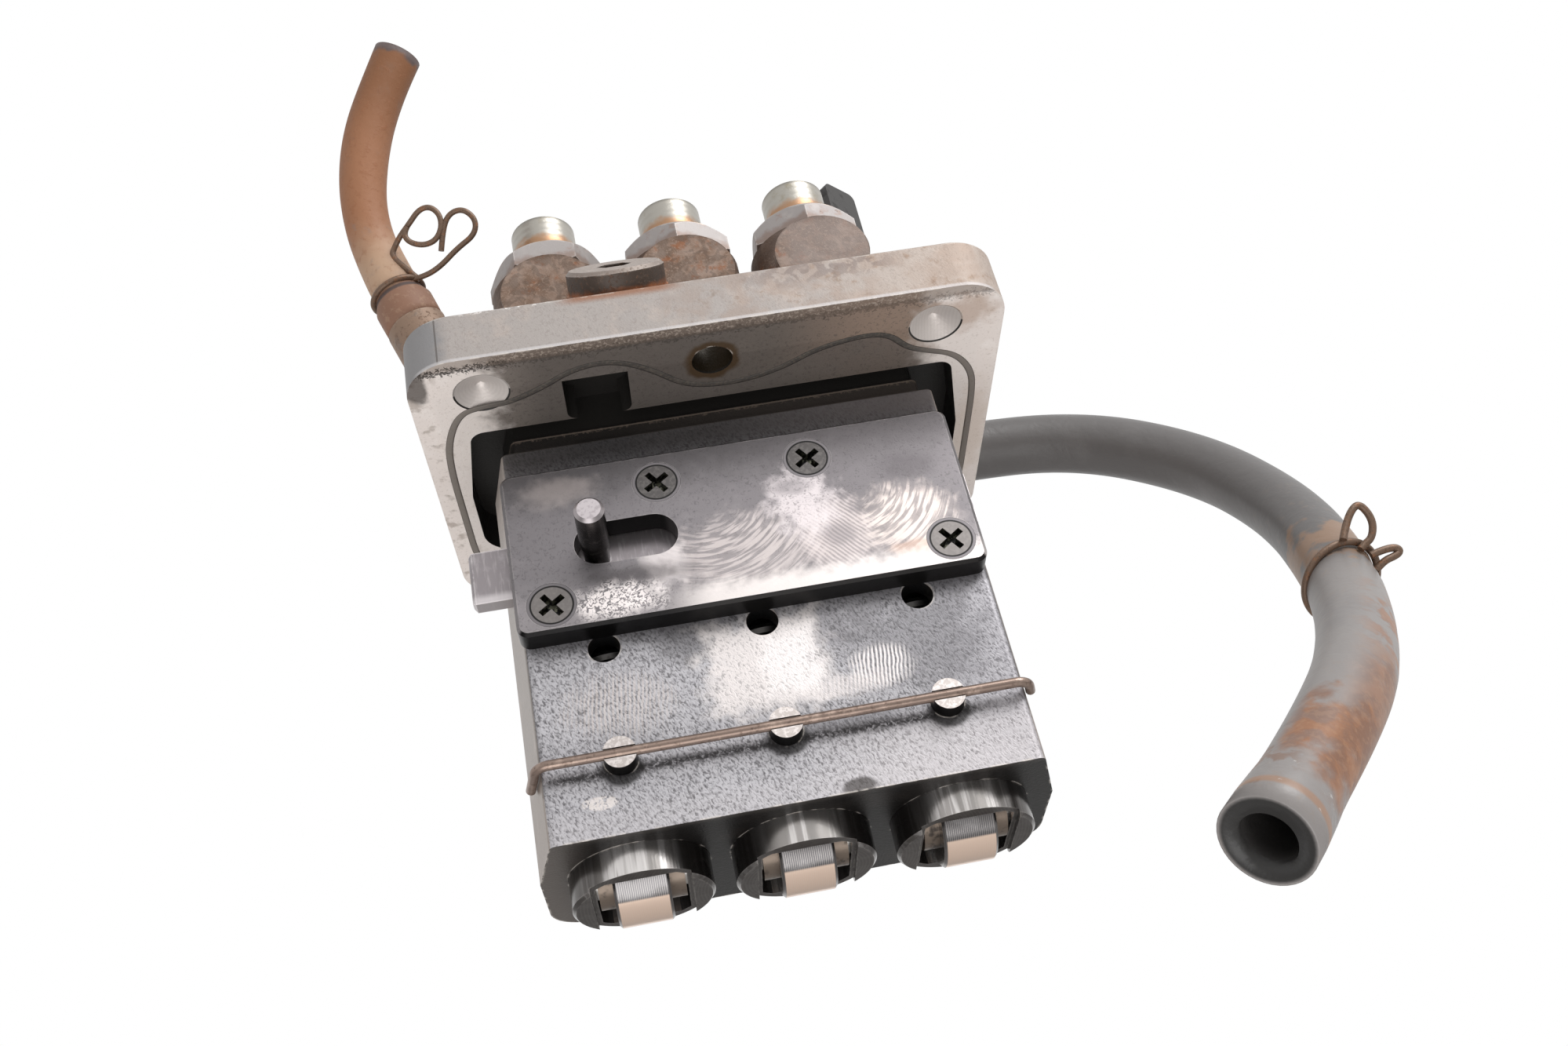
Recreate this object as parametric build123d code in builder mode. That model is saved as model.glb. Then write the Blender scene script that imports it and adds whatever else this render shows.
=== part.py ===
from build123d import *
import math
import os

# Diesel injection pump with three plungers in a row, for a small engine.
# Millimetres. +Z runs up the plunger axes to the delivery valves, +X along the row,
# -Y is the front, where the control plate is. The origin is on the underside of the
# mounting flange, on the middle plunger axis: below it the pump hangs in the crankcase.

# Row of plungers
pitch = 24.0
cylinder_count = 3
cylinder_x = [pitch * (i - (cylinder_count - 1) / 2) for i in range(cylinder_count)]
run_gap = 0.3          # between pieces that move past each other
slide_gap = 0.04       # radial, between a fitted shaft and its bore

# Mounting flange
flange_length = 96.0
flange_width = 67.6
flange_thickness = 9.9
flange_corner = 8.0
flange_edge = 0.8
corner_bolt_x = 36.6
corner_bolt_y = 25.3
corner_hole_d = 8.4
dimple_d = 9.0
dimple_depth = 2.4
middle_bolt_y = 24.8
middle_hole_d = 6.6
spot_face_d = 13.0
spot_face_depth = 0.4

# Pump body below the flange
body_front = 14.0
body_back = 17.0
body_front_half = 35.6
body_half = 38.5
body_shoulder = 4.2    # below the flange face, where the neck starts
body_bottom = 72.2
body_back_corner = 6.0
neck_step = 1.7
rim_step = 0.6
rim_drop = 0.5
pocket_gap = 1.3       # from the body front to the pocket edge
pocket_side_gap = 3.9
pocket_back_gap = 3.0
pocket_depth = 7.0
notch_x = -18.8
notch_width = 10.5
notch_reach = 25.2
notch_corner = 1.6

# Upper housing above the flange
deck_half = 42.0
deck_front = 13.0
deck_back = 19.0
deck_top = 27.5
deck_corner = 9.0
column_r = 10.8
column_top = 39.9
port_boss_r = 8.35
port_boss_z = 28.0
port_boss_front = 15.6

# Bores of one plunger
holder_bore_r = 8.05
head_bore_r = 7.75
head_seat_z = 2.0
head_bore_top = 27.5
stem_bore_r = 5.3
chamber_r = 8.7
chamber_top = -13.0
spring_seat_z = -33.0
tappet_bore_r = 10.5
view_hole_d = 4.9
view_hole_z = -42.4

# Control rack, its plate and screws
rack_z = -26.5
rack_height = 9.3
rack_thickness = 2.5
rack_left = -42.6
rack_right = 36.6
rack_travel = 9.6
rack_gap = 0.25
plate_thickness = 4.1
plate_left = -36.2
plate_right = 35.5
plate_top = -11.4
plate_bottom = -40.6
plate_corner = 1.8
pin_d = 4.6
pin_shank_d = 4.0      # of the end that is pressed into the rack
pin_x = -22.9
pin_shoulder = 18.4    # in front of the plunger row
pin_tip = 27.7
slot_left = -26.1
slot_height = 7.4
screw_upper_x = 12.0
screw_upper_z = -17.0
screw_lower_x = 30.6
screw_lower_z = -36.0
screw_head_d = 7.5
screw_d = 4.0
screw_depth = 4.2
screw_slot = 4.4
screw_slot_width = 1.0

# Control sleeve and its arm
arm_reach = 11.6
ball_d = 4.0
arm_width = 2.6
arm_height = 3.4
arm_window_half = 8.0
sleeve_top = -15.0
sleeve_bottom = -46.0
sleeve_r = 6.3
sleeve_slot_top = -33.4
collar_r = 7.6
collar_height = 1.8
half_sweep = math.degrees(math.asin(rack_travel / 2 / arm_reach))

# Barrel, plunger and delivery valve
plunger_r = 3.0
plunger_top = 8.0
barrel_r = 5.0
barrel_bottom = -30.0
barrel_head_r = 7.65
barrel_top = 18.0
port_d = 2.6
port_z = 12.0
vane_top = -41.0
vane_height = 3.0
vane_span = 12.2
vane_width = 2.6
foot_r = 5.0
foot_height = 1.2
valve_seat_top = 26.5
gasket_height = 1.0
valve_stem_r = 2.9
valve_stem_length = 6.5
valve_head_r = 4.0
valve_head_height = 2.0
valve_lift = 1.6
valve_guide_r = 2.0
valve_guide_length = 3.0
valve_spring_r = 3.6
valve_wire_d = 0.9
valve_spring_turns = 6
holder_cavity_r = 4.7
holder_cavity_top = 43.0
holder_af = 19.0
holder_hex_height = 5.7
hex_top_angle = 50.0   # of the chamfers on the corners
hex_bottom_angle = 30.0
holder_thread_d = 11.8
holder_top = 56.0
holder_bore_d = 2.6
holder_cone_d = 8.6
o_ring_d = 1.56
o_ring_z = 36.0

# Tappet, roller, spring and guide pin
tappet_r = 10.46
tappet_top = -54.2
tappet_bottom = -77.5
tappet_lift = 6.5
seat_recess_r = 9.2
seat_floor = -58.0
foot_recess_r = 5.8
foot_recess_depth = 1.8
lower_seat_height = 1.8
neck_slot = 7.2
upper_seat_height = 1.6
spring_mean_r = 7.7
spring_wire_d = 2.2
spring_turns = 5
roller_r = 7.3
roller_width = 8.1
roller_z = -72.75
bush_r = 4.3
roller_pin_r = 2.75
roller_pin_length = 18.4
fork_half = 6.6
fork_reach = 7.8
fork_round = 9.3
lip_half = 7.25
lip_depth = 0.9
guide_pin_d = 4.9
guide_pin_z = -60.9
guide_pin_head = 16.64
guide_pin_reach = 8.7
guide_slot_depth = 2.0
wire_d = 1.5
wire_bend = 2.4
wire_left_tail = 9.0   # in front of the plunger row
wire_right_tail = 12.8

# Vent plug on the front edge of the flange
plug_x = -12.8
plug_y = -26.8
plug_z = 15.8
plug_tilt = 42.0       # of its axis above the horizontal
plug_r = 8.0
plug_height = 4.0
plug_socket_af = 5.0
plug_shank_r = 5.0
plug_shank = 5.0
plug_washer = 1.0
plug_boss_r = 8.3
plug_boss_length = 12.0

# Overflow elbow and its hose, at the left end
elbow_drop = 7.2       # from the start of the hose down to the elbow's centre
elbow_r = 5.2
elbow_stub_r = 4.2
elbow_boss_r = 6.4
elbow_boss_reach = 0.6  # past the end of the deck
elbow_thread = 8.0
nipple_r = 2.2
nipple_bore_r = 1.3
nipple_length = 10.5
left_hose_d = 8.4
left_hose_reach = 5.6   # from the end of the deck to the start of the hose
left_hose_x = -deck_half - left_hose_reach
left_hose_route = [
    (left_hose_x, -10.0, 28.8), (left_hose_x - 5.2, -11.4, 43.5), (left_hose_x - 7.0, -14.8, 53.5),
    (left_hose_x - 5.6, -18.8, 63.2), (left_hose_x - 2.0, -22.6, 72.2), (left_hose_x + 3.0, -25.8, 80.6)]

# Fuel inlet and its hose, behind the housing
inlet_x = 14.0
inlet_y = 42.0
inlet_z = 20.0
inlet_boss_r = 9.5
banjo_r = 9.0
banjo_width = 12.0
banjo_washer = 1.0
banjo_bolt_r = 5.0
banjo_head_af = 17.0
banjo_head = 6.5
banjo_thread = 9.0
inlet_nipple_r = 3.5
inlet_bore_r = 2.3
inlet_nipple_length = 13.0
right_hose_d = 11.9
right_hose_route = [
    (25.4, 42.0, 20.0), (49.1, 42.0, 20.6), (75.2, 38.7, 16.9),
    (94.0, 29.8, 0.7), (100.4, 17.0, -20.5), (97.2, 3.1, -41.4),
    (89.4, -10.4, -60.0), (75.4, -25.7, -78.4), (52.6, -38.7, -98.7)]

# Spring wire clips on the hoses: the ends of each wire are bent into finger loops
left_clip_wire = 1.2
left_clip_loops = [
    [(left_hose_x + 0.8, -18.0, 43.3), (left_hose_x + 5.0, -20.6, 46.5), (left_hose_x + 7.0, -19.0, 43.9),
     (left_hose_x + 4.7, -17.6, 41.8), (left_hose_x + 1.0, -17.6, 42.0)],
    [(left_hose_x + 5.4, -15.1, 37.8), (left_hose_x + 11.7, -18.4, 41.5), (left_hose_x + 11.3, -20.4, 45.0),
     (left_hose_x + 8.2, -19.8, 44.7), (left_hose_x + 6.3, -16.6, 40.0)]]
right_clip_wire = 1.7
right_clip_loops = [
    [(97.8, -5.8, -37.6), (99.9, -7.4, -35.6), (102.4, -5.4, -39.4), (100.2, -4.6, -42.4)],
    [(102.6, -3.4, -43.6), (105.6, -3.5, -43.4)]]
clamp_width = 8.0
clamp_wall = 0.8
clamp_ear = 5.0
clamp_offset = 3.0     # from the start of the inlet hose

# Pipe bracket behind the right delivery valve
bracket_x = 36.6
bracket_y = 12.7
bracket_turn = 41.0
bracket_width = 8.2
bracket_wall = 1.8
bracket_top = 69.5
bracket_foot = 7.0
bracket_bolt_d = 4.0
bracket_bolt_af = 7.0
bracket_bolt_head = 2.8
bracket_bolt_reach = 8.0

os.makedirs("parts", exist_ok=True)


def save(part, label):
    """Label one finished piece and write it to the parts folder."""
    part.label = label
    export_step(part, f"parts/{label}.step")


def body_outline(inset=0.0):
    """Corner points of the body's plan, moved inwards by inset: flat front, flared sides."""
    front = -body_front + inset
    back = body_back - inset
    near = body_front_half - inset
    wide = body_half - inset
    return [(-near, front), (-wide, -1.0), (-wide, back), (wide, back), (wide, -1.0), (near, front)]


# ---------------------------------------------------------------- pump housing
plug_axis = (0, -math.cos(math.radians(plug_tilt)), math.sin(math.radians(plug_tilt)))
plug_plane = Plane(origin=(plug_x, plug_y, plug_z), x_dir=(1, 0, 0), z_dir=plug_axis)
front_plane = Plane(origin=(0, -body_front, 0), x_dir=(1, 0, 0), z_dir=(0, -1, 0))
elbow_boss_end = -deck_half - elbow_boss_reach
inlet_boss_end = inlet_y - banjo_width / 2 - banjo_washer
hose_in_plane = Plane(origin=(inlet_x, inlet_boss_end, inlet_z), x_dir=(1, 0, 0), z_dir=(0, 1, 0))
elbow_rise = (Vector(*left_hose_route[1]) - Vector(*left_hose_route[0])).normalized()
elbow_centre = Vector(*left_hose_route[0]) - elbow_rise * elbow_drop
elbow_plane = Plane(origin=(elbow_boss_end, elbow_centre.Y, elbow_centre.Z), x_dir=(0, 1, 0),
                    z_dir=(-1, 0, 0))
bracket_turned = Plane(origin=(bracket_x, bracket_y, deck_top), z_dir=(0, 0, 1),
                       x_dir=(math.cos(math.radians(bracket_turn)), math.sin(math.radians(bracket_turn)), 0))

with BuildPart() as pump_housing:
    # flange plate
    with BuildSketch():
        RectangleRounded(flange_length, flange_width, flange_corner)
    extrude(amount=flange_thickness)
    chamfer(pump_housing.faces().sort_by(Axis.Z)[-1].edges(), length=flange_edge)

    # deck, valve columns and the round boss in front of each
    with BuildSketch(Plane.XY.offset(flange_thickness)):
        with Locations((0, (deck_back - deck_front) / 2)):
            RectangleRounded(2 * deck_half, deck_back + deck_front, deck_corner)
    extrude(amount=deck_top - flange_thickness, taper=2)
    with BuildSketch(Plane.XY.offset(flange_thickness)):
        with Locations(*[(x, 0) for x in cylinder_x]):
            Circle(column_r)
    extrude(amount=column_top - flange_thickness)
    with BuildSketch(Plane(origin=(0, 0, 0), x_dir=(1, 0, 0), z_dir=(0, -1, 0))):
        with Locations(*[(x, port_boss_z) for x in cylinder_x]):
            Circle(port_boss_r)
    extrude(amount=port_boss_front)

    # bosses for the vent plug, the overflow elbow and the fuel inlet
    with BuildSketch(plug_plane.offset(-plug_washer)):
        Circle(plug_boss_r)
    extrude(amount=-plug_boss_length)
    with BuildSketch(elbow_plane):
        Circle(elbow_boss_r)
    extrude(amount=elbow_boss_end + deck_half - deck_corner)
    with BuildSketch(hose_in_plane):
        Circle(inlet_boss_r)
    extrude(amount=-(inlet_boss_end - deck_back + deck_corner))

    # pocket in the flange face, with the notch for the governor link
    with BuildSketch() as pocket:
        with BuildLine():
            Polyline(
                (-body_half - 1.5, -body_front - pocket_gap),
                (-body_half - pocket_side_gap, 2.0),
                (-body_half - pocket_side_gap, body_back + pocket_back_gap),
                (body_half + pocket_side_gap, body_back + pocket_back_gap),
                (body_half + pocket_side_gap, 2.0),
                (body_half + 1.5, -body_front - pocket_gap), close=True)
        make_face()
        fillet(pocket.vertices().group_by(Axis.Y)[0], radius=2.5)
        fillet(pocket.vertices().group_by(Axis.Y)[-1], radius=body_back_corner)
    extrude(amount=pocket_depth, mode=Mode.SUBTRACT)
    with BuildSketch():
        with Locations((notch_x, -notch_reach)):
            RectangleRounded(notch_width, 2 * (notch_reach - body_front - pocket_gap), notch_corner)
        with Locations((notch_x, -notch_reach - notch_reach)):
            Rectangle(2 * notch_width, 2 * notch_reach, mode=Mode.SUBTRACT)
    extrude(amount=pocket_depth, mode=Mode.SUBTRACT)

    # neck, its machined rim, and the body
    for inset, top, bottom in (
            (neck_step + rim_step, pocket_depth, -rim_drop),
            (neck_step, -rim_drop, -body_shoulder),
            (0.0, -body_shoulder, -body_bottom)):
        with BuildSketch(Plane.XY.offset(bottom)) as plan:
            with BuildLine():
                Polyline(*body_outline(inset), close=True)
            make_face()
            fillet(plan.vertices().group_by(Axis.Y)[0], radius=1.2)
            fillet(plan.vertices().group_by(Axis.Y)[-1], radius=body_back_corner - inset)
        extrude(amount=top - bottom)

    # bores, from the valve columns down to the tappets
    for radius, top, bottom in (
            (holder_bore_r, column_top, head_bore_top),
            (head_bore_r, head_bore_top, head_seat_z),
            (stem_bore_r, head_seat_z, chamber_top),
            (chamber_r, chamber_top, spring_seat_z),
            (tappet_bore_r, spring_seat_z, -body_bottom)):
        with BuildSketch(Plane.XY.offset(bottom)):
            with Locations(*[(x, 0) for x in cylinder_x]):
                Circle(radius)
        extrude(amount=top - bottom, mode=Mode.SUBTRACT)

    # channel for the rack, and a window behind it for each sleeve's arm
    rack_slot_height = rack_height + 2 * rack_gap
    rack_back = body_front - rack_gap - rack_thickness
    with BuildSketch(front_plane):
        with Locations((0, rack_z)):
            Rectangle(2 * flange_length, rack_slot_height)
    extrude(amount=-(body_front - rack_back + rack_gap), mode=Mode.SUBTRACT)
    with BuildSketch(front_plane):
        with Locations(*[(x, rack_z) for x in cylinder_x]):
            Rectangle(2 * arm_window_half, arm_height + 2)
    extrude(amount=-body_front, mode=Mode.SUBTRACT)

    # holes in the front: plate screws, spring windows and guide pins
    screw_points = [
        (-screw_upper_x, screw_upper_z), (screw_upper_x, screw_upper_z),
        (-screw_lower_x, screw_lower_z), (screw_lower_x, screw_lower_z)]
    with BuildSketch(front_plane):
        with Locations(*screw_points):
            Circle(screw_d / 2 + slide_gap)
    extrude(amount=-screw_depth, mode=Mode.SUBTRACT)
    with BuildSketch(front_plane):
        with Locations(*[(x, view_hole_z) for x in cylinder_x]):
            Circle(view_hole_d / 2)
        with Locations(*[(x, guide_pin_z) for x in cylinder_x]):
            Circle(guide_pin_d / 2 + slide_gap)
    extrude(amount=-body_front, mode=Mode.SUBTRACT)

    # spot face and threaded hole of the vent plug, then the holes of the elbow and the inlet
    with BuildSketch(plug_plane.offset(-plug_washer)):
        Circle(plug_r + 2 * run_gap)
    extrude(amount=plug_washer + plug_height, mode=Mode.SUBTRACT)
    with BuildSketch(plug_plane):
        Circle(plug_shank_r + slide_gap)
    extrude(amount=-(plug_washer + plug_shank), mode=Mode.SUBTRACT)
    with BuildSketch(elbow_plane):
        Circle(elbow_stub_r + slide_gap)
    extrude(amount=-elbow_thread, mode=Mode.SUBTRACT)
    with BuildSketch(hose_in_plane):
        Circle(banjo_bolt_r + slide_gap)
    extrude(amount=-banjo_thread, mode=Mode.SUBTRACT)
    with BuildSketch(bracket_turned):
        with Locations((0, -bracket_foot / 2)):
            Circle(bracket_bolt_d / 2 + slide_gap)
    extrude(amount=-bracket_bolt_reach, mode=Mode.SUBTRACT)

    # flange holes: two in the middle, two at the back corners, two blind dimples in front
    with BuildSketch():
        with Locations((0, -middle_bolt_y), (0, middle_bolt_y)):
            Circle(middle_hole_d / 2)
        with Locations((-corner_bolt_x, corner_bolt_y), (corner_bolt_x, corner_bolt_y)):
            Circle(corner_hole_d / 2)
    extrude(amount=flange_thickness, mode=Mode.SUBTRACT)
    for x in (-corner_bolt_x, corner_bolt_x):
        with BuildSketch(Plane(origin=(x, -corner_bolt_y, 0), x_dir=(1, 0, 0), z_dir=(0, -1, 0))):
            with BuildLine():
                Polyline((0, 0), (dimple_d / 2, 0), (0, dimple_depth), close=True)
            make_face()
        revolve(axis=Axis((x, -corner_bolt_y, 0), (0, 0, 1)), mode=Mode.SUBTRACT)

save(pump_housing.part, "pump_housing")

# ------------------------------------------------------- control plate and screws
plate_plane = front_plane.offset(plate_thickness)
with BuildPart() as control_plate:
    with BuildSketch(front_plane):
        with Locations(((plate_left + plate_right) / 2, (plate_top + plate_bottom) / 2)):
            RectangleRounded(plate_right - plate_left, plate_top - plate_bottom, plate_corner)
        slot_length = (pin_x - slot_left) * 2 + rack_travel
        with Locations((slot_left + slot_length / 2, rack_z)):
            SlotOverall(slot_length, slot_height, mode=Mode.SUBTRACT)
    extrude(amount=plate_thickness)
    chamfer(control_plate.faces().sort_by(Axis.Y)[0].outer_wire().edges(), length=0.5)
    with Locations(plate_plane):
        with Locations(*screw_points):
            CounterSinkHole(screw_d / 2 + slide_gap, screw_head_d / 2 + slide_gap)
save(control_plate.part, "control_plate")

with BuildPart() as plate_screws:
    head_cone = (screw_head_d - screw_d) / 2
    for x, z in screw_points:
        with BuildSketch(Plane(origin=(x, -body_front - plate_thickness, z), x_dir=(1, 0, 0),
                               z_dir=(0, 0, 1))):
            with BuildLine():
                Polyline(
                    (0, 0), (screw_head_d / 2, 0), (screw_d / 2, head_cone),
                    (screw_d / 2, plate_thickness + screw_depth),
                    (0, plate_thickness + screw_depth), close=True)
            make_face()
        revolve(axis=Axis((x, 0, z), (0, 1, 0)))
    with BuildSketch(plate_plane):
        with Locations(*screw_points):
            Rectangle(screw_slot, screw_slot_width, rotation=35)
            Rectangle(screw_slot_width, screw_slot, rotation=35)
    extrude(amount=-1.5, mode=Mode.SUBTRACT)
save(plate_screws.part, "plate_screws")

# ------------------------------------------------------- control rack and its pin
rack_front = body_front - rack_gap
with BuildPart() as control_rack:
    with BuildSketch(Plane(origin=(0, -rack_front, 0), x_dir=(1, 0, 0), z_dir=(0, 1, 0))):
        with Locations(((rack_left + rack_right) / 2, -rack_z)):
            Rectangle(rack_right - rack_left, rack_height)
    extrude(amount=rack_thickness)
    chamfer(control_rack.faces().sort_by(Axis.X)[0].edges(), length=0.5)
    # one notch for each sleeve's arm, open below
    notch_floor = rack_z + arm_height / 2 + run_gap
    for x in cylinder_x:
        with BuildSketch(Plane(origin=(x - rack_travel / 2, -rack_front, 0), x_dir=(1, 0, 0),
                               z_dir=(0, -1, 0))):
            with Locations((0, notch_floor - rack_height)):
                Rectangle(ball_d + 2 * run_gap, 2 * rack_height)
        extrude(amount=-rack_thickness, mode=Mode.SUBTRACT)
    with BuildSketch(Plane(origin=(pin_x, -rack_front, rack_z), x_dir=(1, 0, 0), z_dir=(0, -1, 0))):
        Circle(pin_shank_d / 2)
    extrude(amount=-rack_thickness, mode=Mode.SUBTRACT)
save(control_rack.part, "control_rack")

with BuildPart() as rack_pin:
    with BuildSketch(Plane(origin=(pin_x, -rack_front + rack_thickness, rack_z), x_dir=(1, 0, 0),
                           z_dir=(0, -1, 0))):
        Circle(pin_shank_d / 2)
    extrude(amount=pin_shoulder - rack_front + rack_thickness)
    with BuildSketch(Plane(origin=(pin_x, -pin_shoulder, rack_z), x_dir=(1, 0, 0), z_dir=(0, -1, 0))):
        Circle(pin_d / 2)
    extrude(amount=pin_tip - pin_shoulder)
    chamfer(rack_pin.edges().sort_by(Axis.Y)[0], length=0.5)
save(rack_pin.part, "rack_pin")

# ------------------------------------------------------- barrels and valve seats
with BuildPart() as barrels:
    for radius, top, bottom in (
            (barrel_head_r, barrel_top, head_seat_z),
            (barrel_r, head_seat_z, barrel_bottom)):
        with BuildSketch(Plane.XY.offset(bottom)):
            with Locations(*[(x, 0) for x in cylinder_x]):
                Circle(radius)
        extrude(amount=top - bottom)
    with BuildSketch(Plane.XY.offset(barrel_bottom)):
        with Locations(*[(x, 0) for x in cylinder_x]):
            Circle(plunger_r + slide_gap)
    extrude(amount=barrel_top - barrel_bottom, mode=Mode.SUBTRACT)
    with BuildSketch(Plane(origin=(0, 0, port_z), x_dir=(1, 0, 0), z_dir=(0, -1, 0))):
        with Locations(*[(x, 0) for x in cylinder_x]):
            Circle(port_d / 2)
    extrude(amount=barrel_head_r, both=True, mode=Mode.SUBTRACT)
save(barrels.part, "barrels")

with BuildPart() as valve_seats:
    with BuildSketch(Plane.XY.offset(barrel_top)):
        with Locations(*[(x, 0) for x in cylinder_x]):
            Circle(barrel_head_r)
            Circle(valve_stem_r + slide_gap, mode=Mode.SUBTRACT)
    extrude(amount=valve_seat_top - barrel_top)
save(valve_seats.part, "valve_seats")

with BuildPart() as seat_gaskets:
    with BuildSketch(Plane.XY.offset(valve_seat_top)):
        with Locations(*[(x, 0) for x in cylinder_x]):
            Circle(barrel_head_r)
            Circle(holder_cavity_r, mode=Mode.SUBTRACT)
    extrude(amount=gasket_height)
save(seat_gaskets.part, "seat_gaskets")

# ------------------------------------------------------- delivery valve holders
holder_bottom = valve_seat_top + gasket_height
hex_top = column_top + holder_hex_height
with BuildPart() as valve_holders:
    for x, turn in zip(cylinder_x, (0, 30, 30)):
        with BuildSketch(Plane.XY.offset(column_top)):
            with Locations((x, 0)):
                RegularPolygon(holder_af / 2, 6, major_radius=False, rotation=turn)
        extrude(amount=holder_hex_height)
    # round chamfers on both ends of each hexagon
    hex_corner = holder_af / math.sqrt(3) + slide_gap
    hex_cut = hex_corner - holder_af / 2
    for x in cylinder_x:
        with BuildSketch(Plane(origin=(x, 0, 0), x_dir=(1, 0, 0), z_dir=(0, -1, 0))):
            for end, angle in ((column_top, hex_bottom_angle), (hex_top, -hex_top_angle)):
                rise = hex_cut * math.tan(math.radians(angle))
                with BuildLine():
                    Polyline(
                        (holder_af / 2, end), (hex_corner, end), (hex_corner, end + rise), close=True)
                make_face()
        revolve(axis=Axis((x, 0, 0), (0, 0, 1)), mode=Mode.SUBTRACT)
    for radius, top, bottom in (
            (holder_bore_r - slide_gap, column_top, holder_bottom),
            (holder_thread_d / 2, holder_top, hex_top)):
        with BuildSketch(Plane.XY.offset(bottom)):
            with Locations(*[(x, 0) for x in cylinder_x]):
                Circle(radius)
        extrude(amount=top - bottom)
    chamfer(valve_holders.edges().group_by(Axis.Z)[-1], length=0.8)
    for x in cylinder_x:
        with BuildSketch(Plane(origin=(x, 0, 0), x_dir=(1, 0, 0), z_dir=(0, -1, 0))):
            # spring cavity, outlet and cone for the injection pipe, then the groove for the O-ring
            cone_drop = (holder_cone_d - holder_bore_d) / 2 / math.tan(math.radians(30))
            with BuildLine():
                Polyline(
                    (0, holder_bottom), (holder_cavity_r, holder_bottom),
                    (holder_cavity_r, holder_cavity_top), (holder_bore_d / 2, holder_cavity_top + 1),
                    (holder_bore_d / 2, holder_top - cone_drop), (holder_cone_d / 2, holder_top),
                    (0, holder_top), close=True)
            make_face()
            with Locations((holder_bore_r, o_ring_z)):
                Rectangle(2 * (o_ring_d + slide_gap), o_ring_d + 2 * slide_gap)
        revolve(axis=Axis((x, 0, 0), (0, 0, 1)), mode=Mode.SUBTRACT)
save(valve_holders.part, "valve_holders")

with BuildPart() as o_rings:
    for x in cylinder_x:
        with BuildSketch(Plane(origin=(x, 0, 0), x_dir=(1, 0, 0), z_dir=(0, -1, 0))):
            with Locations((holder_bore_r - o_ring_d / 2 - slide_gap, o_ring_z)):
                Circle(o_ring_d / 2)
        revolve(axis=Axis((x, 0, 0), (0, 0, 1)))
save(o_rings.part, "o_rings")

# ------------------------------------------------------- spring seats
with BuildPart() as upper_spring_seats:
    with BuildSketch(Plane.XY.offset(spring_seat_z)):
        with Locations(*[(x, 0) for x in cylinder_x]):
            Circle(tappet_bore_r - slide_gap)
            Circle(sleeve_r + run_gap, mode=Mode.SUBTRACT)
    extrude(amount=-upper_seat_height)
save(upper_spring_seats.part, "upper_spring_seats")


def helix_spring(x, radius, wire, bottom, top, turns):
    """One spring, standing between bottom and top on the axis at x."""
    height = top - bottom - wire
    with BuildPart() as coil:
        with BuildLine():
            path = Helix(pitch=height / turns, height=height, radius=radius,
                         center=(x, 0, bottom + wire / 2))
        with BuildSketch(Plane(origin=path @ 0, z_dir=path % 0)):
            RegularPolygon(wire / 2, 8)
        sweep(is_frenet=True)
    return coil.part


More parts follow.
